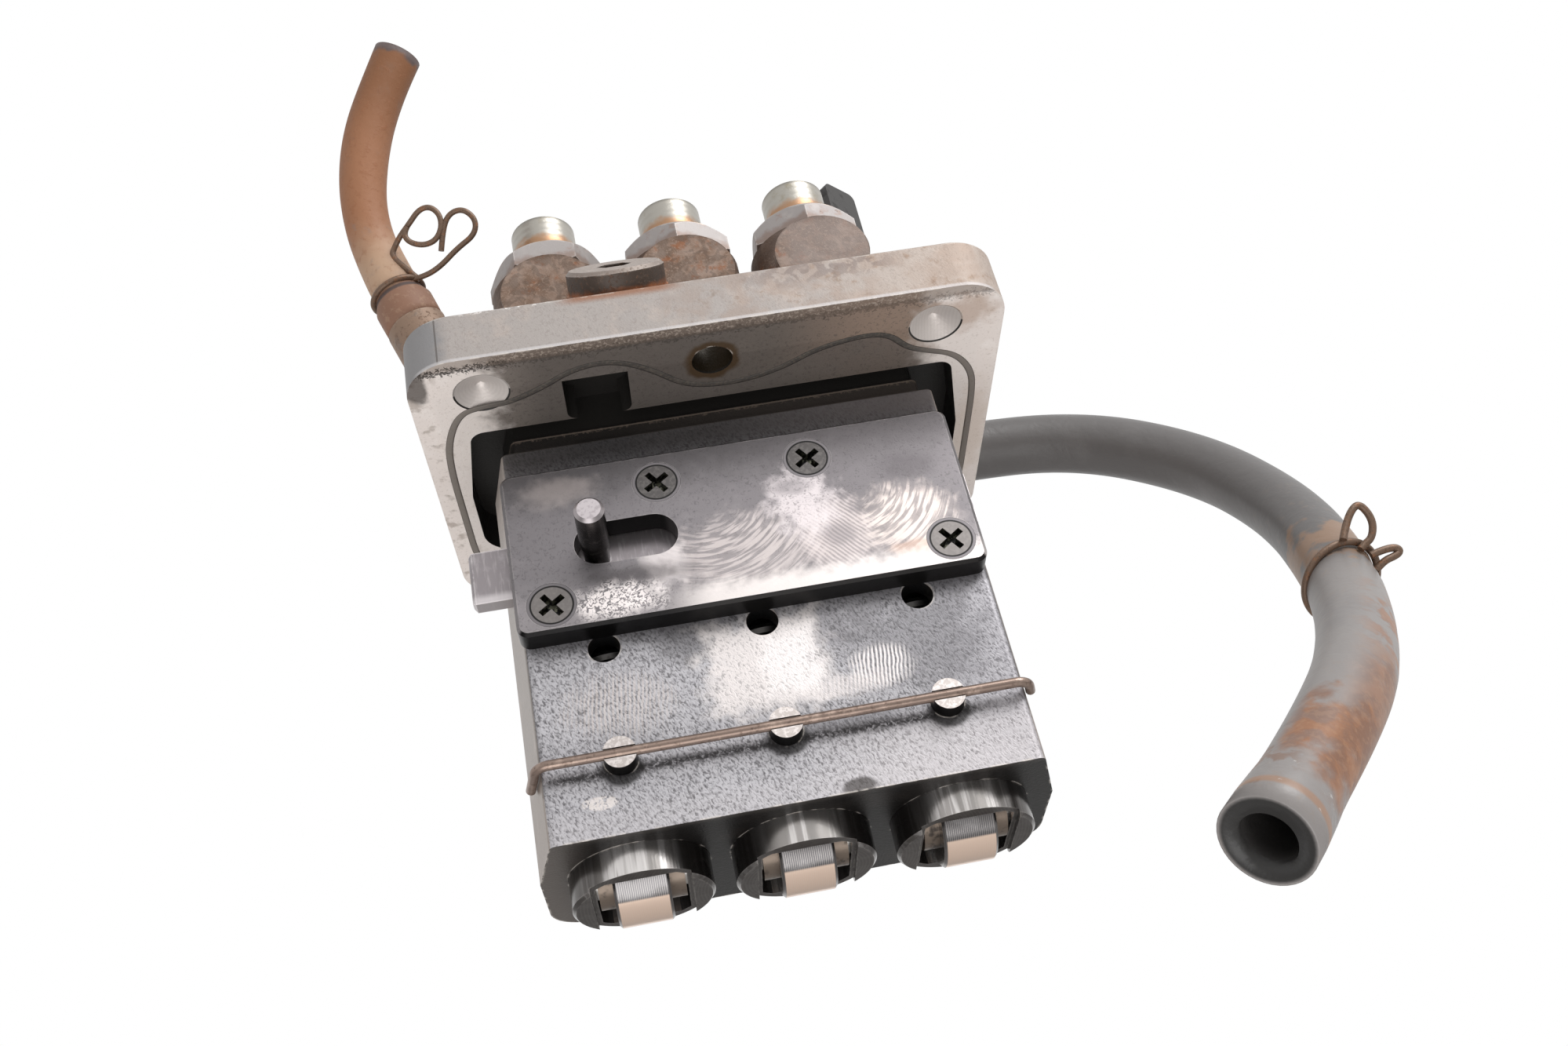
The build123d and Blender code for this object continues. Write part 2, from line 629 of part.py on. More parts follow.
for number, x in enumerate(cylinder_x, start=1):
    # ---------------------------------------------------- delivery valve and its spring
    valve_bottom = valve_seat_top + slide_gap
    with BuildPart() as delivery_valve:
        with BuildSketch(Plane(origin=(x, 0, 0), x_dir=(1, 0, 0), z_dir=(0, -1, 0))):
            with BuildLine():
                guide_bottom = valve_bottom + valve_head_height
                Polyline(
                    (0, valve_bottom - valve_stem_length), (valve_stem_r, valve_bottom - valve_stem_length),
                    (valve_stem_r, valve_bottom), (valve_head_r - 0.6, valve_bottom),
                    (valve_head_r, valve_bottom + 0.6), (valve_head_r, guide_bottom),
                    (valve_guide_r, guide_bottom), (valve_guide_r, guide_bottom + valve_guide_length),
                    (0, guide_bottom + valve_guide_length), close=True)
            make_face()
        revolve(axis=Axis((x, 0, 0), (0, 0, 1)))
        # flutes that let the fuel past the stem
        with BuildSketch(Plane.XY.offset(valve_bottom - valve_stem_length)):
            with Locations((x, 0)):
                with PolarLocations(valve_stem_r, 4):
                    Circle(1.2)
        extrude(amount=valve_stem_length - 1.5, mode=Mode.SUBTRACT)
    save(delivery_valve.part, f"delivery_valve_{number}")

    save(helix_spring(x, valve_spring_r, valve_wire_d, valve_bottom + valve_head_height,
                      holder_cavity_top, valve_spring_turns), f"valve_spring_{number}")

    # ---------------------------------------------------- plunger with its turning vane and foot
    foot_top = seat_floor - run_gap
    with BuildPart() as plunger:
        with BuildSketch(Plane.XY.offset(foot_top - foot_height)):
            with Locations((x, 0)):
                Circle(foot_r)
        extrude(amount=foot_height)
        with BuildSketch(Plane.XY.offset(foot_top)):
            with Locations((x, 0)):
                Circle(plunger_r)
        extrude(amount=plunger_top - foot_top)
        arm_angle = -90 - half_sweep
        with BuildSketch(Plane.XY.offset(vane_top - vane_height)):
            with Locations((x, 0)):
                Rectangle(vane_span, vane_width, rotation=arm_angle)
        extrude(amount=vane_height)
        # metering edge: a slot down from the top that meets an inclined cut
        with BuildSketch(Plane(origin=(x, 0, plunger_top), x_dir=(0, 1, 0), z_dir=(1, 0, 0))):
            with Locations((-plunger_r, 0)):
                Rectangle(1.2, 9)
        extrude(amount=0.7, both=True, mode=Mode.SUBTRACT)
        with BuildSketch(Plane(origin=(x, -plunger_r, plunger_top), x_dir=(1, 0, 0), z_dir=(0, -1, 0))):
            with Locations((0, -5)):
                Rectangle(6, 1.6, rotation=35)
        extrude(amount=-0.8, mode=Mode.SUBTRACT)
    save(plunger.part, f"plunger_{number}")

    # ---------------------------------------------------- control sleeve with its ball-ended arm
    with BuildPart() as control_sleeve:
        with BuildSketch(Plane.XY.offset(sleeve_bottom)):
            with Locations((x, 0)):
                Circle(sleeve_r)
        extrude(amount=sleeve_top - sleeve_bottom)
        with BuildSketch(Plane.XY.offset(spring_seat_z + run_gap)):
            with Locations((x, 0)):
                Circle(collar_r)
        extrude(amount=collar_height)
        with BuildSketch(Plane.XY.offset(rack_z - arm_height / 2)):
            with Locations((x, 0)):
                with Locations(Rotation(0, 0, arm_angle)):
                    with Locations((arm_reach / 2, 0)):
                        Rectangle(arm_reach, arm_width)
                    with Locations((arm_reach, 0)):
                        Circle(ball_d / 2)
        extrude(amount=arm_height)
        with BuildSketch(Plane.XY.offset(sleeve_bottom)):
            with Locations((x, 0)):
                Circle(barrel_r + slide_gap)
        extrude(amount=sleeve_top - sleeve_bottom, mode=Mode.SUBTRACT)
        with BuildSketch(Plane.XY.offset(sleeve_bottom)):
            with Locations((x, 0)):
                Rectangle(3 * sleeve_r, vane_width + run_gap, rotation=arm_angle)
        extrude(amount=sleeve_slot_top - sleeve_bottom, mode=Mode.SUBTRACT)
    save(control_sleeve.part, f"control_sleeve_{number}")

    # ---------------------------------------------------- plunger spring and lower seat
    spring_bottom = seat_floor + lower_seat_height
    save(helix_spring(x, spring_mean_r, spring_wire_d, spring_bottom,
                      spring_seat_z - upper_seat_height, spring_turns), f"plunger_spring_{number}")

    with BuildPart() as lower_seat:
        with BuildSketch(Plane.XY.offset(seat_floor)):
            with Locations((x, 0)):
                Circle(seat_recess_r - slide_gap)
                Circle(neck_slot / 2, mode=Mode.SUBTRACT)
            with Locations((x, seat_recess_r)):
                Rectangle(neck_slot, 2 * seat_recess_r, mode=Mode.SUBTRACT)
        extrude(amount=lower_seat_height)
    save(lower_seat.part, f"lower_spring_seat_{number}")

    # ---------------------------------------------------- roller tappet
    with BuildPart() as tappet:
        with BuildSketch(Plane.XY.offset(tappet_bottom)):
            with Locations((x, 0)):
                Circle(tappet_r)
        extrude(amount=tappet_top - tappet_bottom)
        chamfer(tappet.edges().group_by(Axis.Z)[-1], length=0.5)
        chamfer(tappet.edges().group_by(Axis.Z)[0], length=0.5)
        for radius, bottom in ((seat_recess_r, seat_floor), (foot_recess_r, seat_floor - foot_recess_depth)):
            with BuildSketch(Plane.XY.offset(bottom)):
                with Locations((x, 0)):
                    Circle(radius)
            extrude(amount=tappet_top - bottom, mode=Mode.SUBTRACT)
        # fork for the roller, open below
        fork_top = roller_z + roller_r + 2 * run_gap
        with BuildSketch(Plane.XY.offset(tappet_bottom)):
            with Locations((x, 0)):
                Circle(fork_round)
                Rectangle(2 * fork_half, 2 * fork_reach, mode=Mode.INTERSECT)
        extrude(amount=fork_top - tappet_bottom, mode=Mode.SUBTRACT)
        with BuildSketch(Plane.XY.offset(tappet_bottom)):
            with Locations((x, 0)):
                Rectangle(2 * lip_half, 3 * tappet_r)
        extrude(amount=lip_depth, mode=Mode.SUBTRACT)
        # bore of the roller pin and the slot that the guide pin runs in
        with BuildSketch(Plane(origin=(x, 0, roller_z), x_dir=(0, 1, 0), z_dir=(1, 0, 0))):
            Circle(roller_pin_r + slide_gap)
        extrude(amount=roller_pin_length / 2, both=True, mode=Mode.SUBTRACT)
        slot_long = guide_pin_d + tappet_lift + 2 * run_gap
        with BuildSketch(Plane(origin=(x, -tappet_r, guide_pin_z - tappet_lift / 2), x_dir=(1, 0, 0),
                               z_dir=(0, -1, 0))):
            SlotOverall(slot_long, guide_pin_d + 2 * slide_gap, rotation=90)
        extrude(amount=-guide_slot_depth, mode=Mode.SUBTRACT)
    save(tappet.part, f"tappet_{number}")

    roller_plane = Plane(origin=(x, 0, roller_z), x_dir=(0, 1, 0), z_dir=(1, 0, 0))
    with BuildPart() as roller_pin:
        with BuildSketch(roller_plane):
            Circle(roller_pin_r)
        extrude(amount=roller_pin_length / 2, both=True)
        chamfer(roller_pin.faces().sort_by(Axis.X)[0].edges(), length=0.4)
        chamfer(roller_pin.faces().sort_by(Axis.X)[-1].edges(), length=0.4)
    save(roller_pin.part, f"roller_pin_{number}")

    with BuildPart() as roller_bush:
        with BuildSketch(roller_plane):
            Circle(bush_r)
            Circle(roller_pin_r + slide_gap, mode=Mode.SUBTRACT)
        extrude(amount=fork_half - run_gap, both=True)
    save(roller_bush.part, f"roller_bush_{number}")

    with BuildPart() as roller:
        with BuildSketch(roller_plane):
            Circle(roller_r)
        extrude(amount=roller_width / 2, both=True)
        chamfer(roller.edges(), length=0.4)
        with BuildSketch(roller_plane):
            Circle(bush_r + slide_gap)
        extrude(amount=roller_width / 2, both=True, mode=Mode.SUBTRACT)
    save(roller.part, f"roller_{number}")

# ------------------------------------------------------- guide pins and their wire
with BuildPart() as guide_pins:
    for x in cylinder_x:
        with BuildSketch(Plane(origin=(x, -guide_pin_head, guide_pin_z), x_dir=(1, 0, 0),
                               z_dir=(0, 1, 0))):
            Circle(guide_pin_d / 2)
        extrude(amount=guide_pin_head - guide_pin_reach)
        with BuildSketch(Plane(origin=(x, -guide_pin_head, guide_pin_z), x_dir=(1, 0, 0),
                               z_dir=(0, 1, 0))):
            Rectangle(2 * guide_pin_d, wire_d + 2 * slide_gap)
        extrude(amount=wire_d * 0.8, mode=Mode.SUBTRACT)
save(guide_pins.part, "guide_pins")

# The wire lies in the slots of the pins and is bent back round both corners of the body.
wire_front = guide_pin_head - wire_d * 0.8 + wire_d / 2 + slide_gap
side_slope = (body_half - body_front_half) / (body_front - 1.0)
side_out = (wire_d / 2 + 2 * slide_gap) * math.hypot(1, side_slope)
wire_corner = body_front_half + side_out - side_slope * (wire_front - body_front)
left_end = body_front_half + side_out + side_slope * (body_front - wire_left_tail)
right_end = body_front_half + side_out + side_slope * (body_front - wire_right_tail)
with BuildPart() as retaining_wire:
    with BuildLine():
        wire_path = FilletPolyline(
            (-left_end, -wire_left_tail, guide_pin_z), (-wire_corner, -wire_front, guide_pin_z),
            (wire_corner, -wire_front, guide_pin_z), (right_end, -wire_right_tail, guide_pin_z),
            radius=wire_bend)
    with BuildSketch(Plane(origin=wire_path @ 0, z_dir=wire_path % 0)):
        Circle(wire_d / 2)
    sweep()
save(retaining_wire.part, "retaining_wire")

# ------------------------------------------------------- vent plug and its washer
with BuildPart() as vent_plug:
    with BuildSketch(plug_plane):
        Circle(plug_r)
    extrude(amount=plug_height)
    chamfer(vent_plug.faces().sort_by(Axis((plug_x, plug_y, plug_z), plug_axis))[-1].edges(), length=0.6)
    with BuildSketch(plug_plane):
        Circle(plug_shank_r)
    extrude(amount=-(plug_washer + plug_shank))
    with BuildSketch(plug_plane.offset(plug_height)):
        RegularPolygon(plug_socket_af / 2, 6, major_radius=False)
    extrude(amount=-plug_height, mode=Mode.SUBTRACT)
save(vent_plug.part, "vent_plug")

with BuildPart() as vent_washer:
    with BuildSketch(plug_plane):
        Circle(plug_r + 0.3)
        Circle(plug_shank_r + slide_gap, mode=Mode.SUBTRACT)
    extrude(amount=-plug_washer)
save(vent_washer.part, "vent_washer")

# ------------------------------------------------------- overflow elbow at the left end
elbow_up = Plane(origin=elbow_centre, z_dir=elbow_rise)
with BuildPart() as overflow_elbow:
    with BuildSketch(elbow_up.offset(-elbow_r)):
        Circle(elbow_r)
    extrude(amount=elbow_r + elbow_drop - slide_gap)
    fillet(overflow_elbow.faces().sort_by(Axis.Z)[0].edges(), radius=2.4)
    with BuildSketch(elbow_plane):
        Rectangle(6 * elbow_r, 6 * elbow_r)
    extrude(amount=-2 * elbow_r, mode=Mode.SUBTRACT)
    with BuildSketch(elbow_plane):
        Circle(elbow_stub_r)
    extrude(amount=-elbow_thread)
    with BuildSketch(elbow_up):
        Circle(nipple_r)
    extrude(amount=elbow_drop + nipple_length)
    with BuildSketch(elbow_up):
        Circle(nipple_bore_r)
    extrude(amount=elbow_drop + nipple_length, mode=Mode.SUBTRACT)
save(overflow_elbow.part, "overflow_elbow")

# ------------------------------------------------------- inlet union, its bolt and washers
inlet_plane = Plane(origin=(inlet_x, inlet_y, inlet_z), x_dir=(1, 0, 0), z_dir=(0, 1, 0))
nipple_plane = Plane(origin=right_hose_route[0],
                     z_dir=Vector(*right_hose_route[1]) - Vector(*right_hose_route[0]))
with BuildPart() as inlet_banjo:
    with BuildSketch(inlet_plane):
        Circle(banjo_r)
    extrude(amount=banjo_width / 2, both=True)
    with BuildSketch(nipple_plane.offset(-banjo_r)):
        Circle(inlet_nipple_r)
    extrude(amount=banjo_r + inlet_nipple_length)
    with BuildSketch(inlet_plane):
        Circle(banjo_bolt_r + slide_gap)
    extrude(amount=banjo_width / 2, both=True, mode=Mode.SUBTRACT)
    with BuildSketch(nipple_plane.offset(-banjo_r)):
        Circle(inlet_bore_r)
    extrude(amount=banjo_r + inlet_nipple_length, mode=Mode.SUBTRACT)
save(inlet_banjo.part, "inlet_banjo")

bolt_seat = inlet_plane.offset(banjo_width / 2 + banjo_washer)
with BuildPart() as banjo_bolt:
    with BuildSketch(bolt_seat):
        RegularPolygon(banjo_head_af / 2, 6, major_radius=False)
    extrude(amount=banjo_head)
    with BuildSketch(bolt_seat):
        Circle(banjo_bolt_r)
    extrude(amount=-(banjo_width + 2 * banjo_washer + banjo_thread))
save(banjo_bolt.part, "banjo_bolt")

with BuildPart() as banjo_washers:
    for face in (bolt_seat, hose_in_plane.offset(banjo_washer)):
        with BuildSketch(face):
            Circle(banjo_r)
            Circle(banjo_bolt_r + slide_gap, mode=Mode.SUBTRACT)
        extrude(amount=-banjo_washer)
save(banjo_washers.part, "banjo_washers")


# ------------------------------------------------------- hoses
def hose_radii(route):
    """The largest bend at each corner that its two runs allow."""
    points = [Vector(*p) for p in route]
    radii = []
    for before, here, after in zip(points, points[1:], points[2:]):
        turn = math.radians((here - before).get_angle(after - here))
        shorter = min((here - before).length, (after - here).length)
        radii.append(0.45 * shorter / math.tan(turn / 2))
    return radii


def hose(route, diameter, bore):
    """A hose along its route, open at both ends."""
    radii = hose_radii(route)
    with BuildPart() as tube:
        with BuildLine():
            path = FilletPolyline(*route, radius=radii)
        with BuildSketch(Plane(origin=path @ 0, z_dir=path % 0)):
            Circle(diameter / 2)
            Circle(bore / 2, mode=Mode.SUBTRACT)
        sweep()
    section = math.pi * (diameter ** 2 - bore ** 2) / 4
    print("hose length", round(path.length, 1), "radii", [round(r, 1) for r in radii],
          "volume ratio", round(tube.part.volume / (section * path.length), 4))
    return tube.part


save(hose(left_hose_route, left_hose_d, 2 * (nipple_r + slide_gap)), "overflow_hose")
save(hose(right_hose_route, right_hose_d, 2 * (inlet_nipple_r + slide_gap)), "inlet_hose")


def wire_clip(start, end, hose_d, wire, loops):
    """A ring of wire round a hose, halfway from start to end, with both ends bent into loops."""
    centre = (Vector(*start) + Vector(*end)) * 0.5
    along = (Vector(*end) - Vector(*start)).normalized()
    ring_r = hose_d / 2 + wire / 2 + slide_gap
    with BuildPart() as clip:
        for loop in loops:
            aim = Vector(*loop[0]) - centre
            root = centre + (aim - along * aim.dot(along)).normalized() * (ring_r + wire / 5)
            with BuildLine():
                path = FilletPolyline(root, *loop, radius=0.8)
            with BuildSketch(Plane(origin=path @ 0, z_dir=path % 0)):
                Circle(wire / 2)
            sweep()
        ring_plane = Plane(origin=centre, z_dir=along)
        with BuildSketch(Plane(origin=centre, x_dir=ring_plane.x_dir, z_dir=ring_plane.y_dir)):
            with Locations((ring_r, 0)):
                Circle(wire / 2)
        revolve(axis=Axis(centre, along))
    return clip.part


save(wire_clip(left_hose_route[0], left_hose_route[1], left_hose_d, left_clip_wire,
               left_clip_loops), "overflow_hose_clip")
save(wire_clip(right_hose_route[5], right_hose_route[6], right_hose_d, right_clip_wire,
               right_clip_loops), "inlet_hose_clip")

with BuildPart() as inlet_hose_band:
    band_r = right_hose_d / 2 + 2 * slide_gap
    with BuildSketch(nipple_plane.offset(clamp_offset)):
        Circle(band_r + clamp_wall)
        with Locations((0, band_r + clamp_ear / 2)):
            Rectangle(3 * clamp_wall, clamp_ear)
        Circle(band_r, mode=Mode.SUBTRACT)
    extrude(amount=clamp_width)
save(inlet_hose_band.part, "inlet_hose_band")

# ------------------------------------------------------- pipe bracket and its bolt
with BuildPart() as pipe_bracket:
    with BuildSketch(bracket_turned):
        with Locations((0, -bracket_foot / 2)):
            Rectangle(bracket_width, bracket_foot)
    extrude(amount=bracket_wall)
    with BuildSketch(bracket_turned):
        with Locations((0, bracket_wall / 2)):
            Rectangle(bracket_width, bracket_wall)
    extrude(amount=bracket_top - deck_top)
    fillet(pipe_bracket.edges().filter_by(lambda e: e.length < bracket_wall + 0.1)
           .sort_by(Axis.Z)[-2:], radius=1.5)
    with BuildSketch(bracket_turned):
        with Locations((0, -bracket_foot / 2)):
            Circle(bracket_bolt_d / 2 + slide_gap)
    extrude(amount=bracket_wall, mode=Mode.SUBTRACT)
save(pipe_bracket.part, "pipe_bracket")

with BuildPart() as bracket_bolt:
    with BuildSketch(bracket_turned.offset(bracket_wall)):
        with Locations((0, -bracket_foot / 2)):
            RegularPolygon(bracket_bolt_af / 2, 6, major_radius=False)
    extrude(amount=bracket_bolt_head)
    with BuildSketch(bracket_turned.offset(bracket_wall)):
        with Locations((0, -bracket_foot / 2)):
            Circle(bracket_bolt_d / 2)
    extrude(amount=-(bracket_wall + bracket_bolt_reach))
save(bracket_bolt.part, "bracket_bolt")
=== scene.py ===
import math

import bmesh
import bpy
from mathutils import Matrix, Vector


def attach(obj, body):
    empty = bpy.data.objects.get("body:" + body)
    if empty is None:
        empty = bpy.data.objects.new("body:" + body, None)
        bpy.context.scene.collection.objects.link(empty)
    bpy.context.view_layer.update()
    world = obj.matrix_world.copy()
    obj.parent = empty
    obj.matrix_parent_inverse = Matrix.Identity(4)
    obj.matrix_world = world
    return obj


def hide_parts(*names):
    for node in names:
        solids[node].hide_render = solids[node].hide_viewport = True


# ------------------------------------------------------------------ frame
# A three-plunger diesel injection pump. The rigid pieces come packed as solids, already
# in place; this script finishes them and adds what is soft, worn or too fine for solids.
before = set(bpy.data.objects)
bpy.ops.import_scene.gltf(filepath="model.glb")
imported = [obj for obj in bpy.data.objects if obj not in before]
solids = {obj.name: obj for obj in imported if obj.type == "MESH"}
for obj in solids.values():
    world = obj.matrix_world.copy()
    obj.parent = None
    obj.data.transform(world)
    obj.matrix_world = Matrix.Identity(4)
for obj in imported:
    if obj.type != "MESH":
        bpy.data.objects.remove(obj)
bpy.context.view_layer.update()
mm = 0.001

# ------------------------------------------------------------------ camera, light and floor
# The pump is looked at from below and in front. The key lamp stands high on the right, a low
# one lights the undersides, a small one makes the sheen, and the world fills in with white.
camera_data = bpy.data.cameras.new("camera")
camera_data.lens = 36.905
camera_data.sensor_width = 36.0
camera_data.clip_start = 0.01
camera = bpy.data.objects.new("camera", camera_data)
bpy.context.scene.collection.objects.link(camera)
right = Vector((0.981341, 0.000961, -0.192271))
down = Vector((-0.161170, 0.549412, -0.819860))
ahead = Vector((0.104848, 0.835551, 0.539316))
turned = Matrix((right, -down, -ahead)).transposed().to_4x4()
camera.matrix_world = Matrix.Translation((-0.01980, -0.22442, -0.16153)) @ turned
bpy.context.scene.camera = camera
bpy.context.scene.view_settings.view_transform = "Standard"


def lamp(name, place, target, size, power):
    """A square area lamp at a place, aimed at a target."""
    data = bpy.data.lights.new(name, "AREA")
    data.size = size
    data.energy = power
    obj = bpy.data.objects.new(name, data)
    bpy.context.scene.collection.objects.link(obj)
    obj.location = place
    obj.rotation_euler = (Vector(target) - Vector(place)).to_track_quat("-Z", "Y").to_euler()


lamp("key_softbox", (0.45, -0.52, 0.50), (0, 0, -0.02), 0.45, 5.4)
lamp("low_softbox", (-0.12, -0.28, -0.50), (0, 0, -0.02), 0.45, 1.7)
lamp("sheen_softbox", (0.085, -0.60, 0.33), (0.005, -0.016, -0.04), 0.16, 0.2)


class Bench:
    """The node tree in hand: every helper below adds its nodes to it."""
    tree = None


def feed(wire, slot):
    """Sends a wire from another node, or a plain value, into a slot."""
    if isinstance(wire, bpy.types.NodeSocket):
        Bench.tree.links.new(wire, slot)
    elif wire is not None:
        slot.default_value = wire


def put(kind, *wires, **settings):
    """A node with its inputs in order. Names with a capital are inputs too, the others settings."""
    node = Bench.tree.nodes.new("ShaderNode" + kind)
    for key, value in settings.items():
        if key[0].isupper():
            feed(value, node.inputs[key.replace("_", " ")])
        else:
            setattr(node, key, value)
    for slot, wire in zip(node.inputs, wires):
        feed(wire, slot)
    return node


def calc(operation, *wires):
    """The result of one sum."""
    return put("Math", *wires, operation=operation).outputs[0]


def either(*masks):
    """Where any mask holds."""
    result = masks[0]
    for mask in masks[1:]:
        result = calc("MAXIMUM", result, mask)
    return result


world = bpy.data.worlds.new("white_surround")
bpy.context.scene.world = world
world.use_nodes = True
Bench.tree = world.node_tree
Bench.tree.nodes.clear()
rays = put("LightPath").outputs
seen = either(rays["Is Camera Ray"], rays["Is Glossy Ray"], rays["Is Transmission Ray"])
fill_light = put("Background", (1, 0.985, 0.97, 1), 0.40).outputs[0]
white_room = put("Background", (1, 1, 1, 1)).outputs[0]
choose = put("MixShader", seen, fill_light, white_room)
put("OutputWorld", Surface=choose.outputs[0])

floor_mesh = bpy.data.meshes.new("floor")
floor_corners = [(-4, -4, -0.6), (4, -4, -0.6), (4, 4, -0.6), (-4, 4, -0.6)]
floor_mesh.from_pydata(floor_corners, [], [(0, 1, 2, 3)])
floor = bpy.data.objects.new("floor", floor_mesh)
bpy.context.scene.collection.objects.link(floor)
floor_paint = bpy.data.materials.new("floor_paint")
floor_paint.use_nodes = True
floor_shader = floor_paint.node_tree.nodes["Principled BSDF"]
floor_shader.inputs["Base Color"].default_value = (0.95, 0.95, 0.95, 1)
floor_shader.inputs["Roughness"].default_value = 0.9
floor_mesh.materials.append(floor_paint)

# ------------------------------------------------------------------ pump housing
# One aluminium die casting: the flange, the body that hangs in the crankcase and the valve columns above. The
# crankcase side is black with oil and with painted shade, the outside dull and stained.
cylinders = (-24, 0, 24)
flange_half = 48


def linear(red, green, blue):
    """A colour given in display values from 0 to 255, as light."""
    light = [((v / 255 + 0.055) / 1.055) ** 2.4 if v > 10 else v / 3295 for v in (red, green, blue)]
    return (*light, 1)


def ramp(value, low, high, start=0.0, end=1.0):
    """A value carried smoothly from low..high to start..end."""
    return put("MapRange", value, low, high, start, end, interpolation_type="SMOOTHSTEP").outputs[0]


def blend_colours(amount, one, two):
    """The first colour where the amount is 0, the second where it is 1."""
    node = put("Mix", data_type="RGBA")
    for slot, wire in ((0, amount), (6, one), (7, two)):
        feed(wire, node.inputs[slot])
    return node.outputs[2]


def position():
    """The place on the piece, in millimetres."""
    return put("VectorMath", put("TexCoord").outputs["Object"], operation="SCALE", Scale=1000.0).outputs[0]


def split(vector):
    """The X, Y and Z of a place or a direction."""
    return put("SeparateXYZ", vector).outputs[:]


def facing():
    """The X, Y and Z of the way the surface faces."""
    return split(put("NewGeometry").outputs["Normal"])


def effect(name, takes, gives):
    """An empty shader group with named inputs and one output, taken in hand."""
    group = bpy.data.node_groups.new(name, "ShaderNodeTree")
    for label, value in takes.items():
        group.interface.new_socket(label, in_out="INPUT", socket_type="NodeSocketFloat").default_value = value
    group.interface.new_socket(gives, in_out="OUTPUT", socket_type="NodeSocketFloat")
    Bench.tree = group
    return group, group.nodes.new("NodeGroupInput").outputs, group.nodes.new("NodeGroupOutput").inputs[0]


# Cloudy patches: Cover says how much of the surface they take, Edge how soft they end.
patches, takes, mask_out = effect("patches", {"Scale": 0.1, "Cover": 0.5, "Edge": 0.1, "Seed": 0.0}, "Mask")
shift = put("CombineXYZ", takes["Seed"], takes["Seed"]).outputs[0]
shifted = put("VectorMath", position(), shift, operation="ADD").outputs[0]
clouds = put("TexNoise", shifted, Scale=takes["Scale"], Detail=6.0, Roughness=0.62).outputs[0]
low_level = calc("SUBTRACT", 0.74, calc("MULTIPLY", takes["Cover"], 0.48))
feed(ramp(clouds, low_level, calc("ADD", low_level, takes["Edge"])), mask_out)

# Cast skin: fine grains and soft lumps, as a height.
cast_skin, takes, height_out = effect("cast_skin", {"Scale": 1.6}, "Height")
skin_position = position()
grains = put("TexNoise", skin_position, Scale=takes["Scale"], Detail=3.0).outputs[0]
lumps = put("TexVoronoi", skin_position, Scale=takes["Scale"]).outputs["Distance"]
feed(calc("ADD", grains, calc("MULTIPLY", lumps, 0.5)), height_out)

# Worn edges: where the surface turns sharply, broken up so that the wear is uneven. The casting also takes it
# for painted shade along its valve columns.
worn_edges, takes, mask_out = effect("worn_edges", {"Width": 0.4, "Breaks": 0.5}, "Mask")
rounded = put("Bevel", samples=4, Radius=calc("MULTIPLY", takes["Width"], 0.001)).outputs[0]
true_normal = put("NewGeometry").outputs["Normal"]
turning = put("VectorMath", rounded, true_normal, operation="DOT_PRODUCT").outputs["Value"]
breaks = put("TexNoise", position(), Scale=0.55, Detail=5.0).outputs[0]
kept = ramp(breaks, takes["Breaks"], calc("ADD", takes["Breaks"], 0.12))
feed(calc("MULTIPLY", ramp(turning, 0.995, 0.9), kept), mask_out)


def patchy(scale, cover, edge, seed=0.0):
    """The mask of the cloudy patches."""
    return put("Group", node_tree=patches, Scale=scale, Cover=cover, Edge=edge, Seed=seed).outputs[0]


def worn(width, breaks):
    """The mask of the worn edges."""
    return put("Group", node_tree=worn_edges, Width=width, Breaks=breaks).outputs[0]


def cast_height(scale):
    """The height of the cast skin."""
    return put("Group", node_tree=cast_skin, Scale=scale).outputs[0]


def new_finish(name):
    """A material and its shader, whose tree is taken in hand."""
    material = bpy.data.materials.new(name)
    material.use_nodes = True
    Bench.tree = material.node_tree
    return material, material.node_tree.nodes["Principled BSDF"].inputs


def coat(shader, colour, metallic, roughness, height, strength, depth):
    """Colours a surface and raises it by a height; depth is in millimetres."""
    feed(colour, shader["Base Color"])
    feed(metallic, shader["Metallic"])
    feed(roughness, shader["Roughness"])
    feed(put("Bump", Strength=strength, Distance=depth * mm, Height=height).outputs[0], shader["Normal"])


def wear(obj, material):
    """Gives every face of a piece one material."""
    obj.data.materials.clear()
    obj.data.materials.append(material)
    for face in obj.data.polygons:
        face.material_index = 0


def shaken(value, ragged, reach):
    """A value made uneven, by half of the reach either way."""
    return calc("ADD", value, calc("MULTIPLY", calc("SUBTRACT", ragged, 0.5), reach))


def spot(where, ragged, centre, size, soft=0.4, rough=0.7, square=False):
    """A ragged patch round a place: 1 inside, 0 outside its size in millimetres."""
    apart = put("VectorMath", where, centre, operation="SUBTRACT").outputs[0]
    apart = put("VectorMath", apart, tuple(1 / s for s in size), operation="MULTIPLY").outputs[0]
    if square:
        across, _, up = split(put("VectorMath", apart, operation="ABSOLUTE").outputs[0])
        reach = calc("MAXIMUM", across, up)
    else:
        reach = put("VectorMath", apart, operation="LENGTH").outputs["Value"]
    return ramp(shaken(reach, ragged, rough), 1 + soft / 2, 1 - soft / 2)


def front_spots(where, ragged, front, reach):
    """A way to set spots on a face that looks forward: place and size go across and up."""
    def on_face(at, size, soft, rough, square=False):
        return spot(where, ragged, (at[0], front, at[1]), (size[0], reach, size[1]), soft, rough, square)

    return on_face


def both(*masks):
    """Where every mask holds."""
    result = masks[0]
    for mask in masks[1:]:
        result = calc("MULTIPLY", result, mask)
    return result


def near(value, middle, reach, soft=0.3):
    """1 where a value lies within reach of the middle."""
    off = calc("ABSOLUTE", calc("SUBTRACT", value, middle))
    return ramp(off, reach + soft / 2, reach - soft / 2)


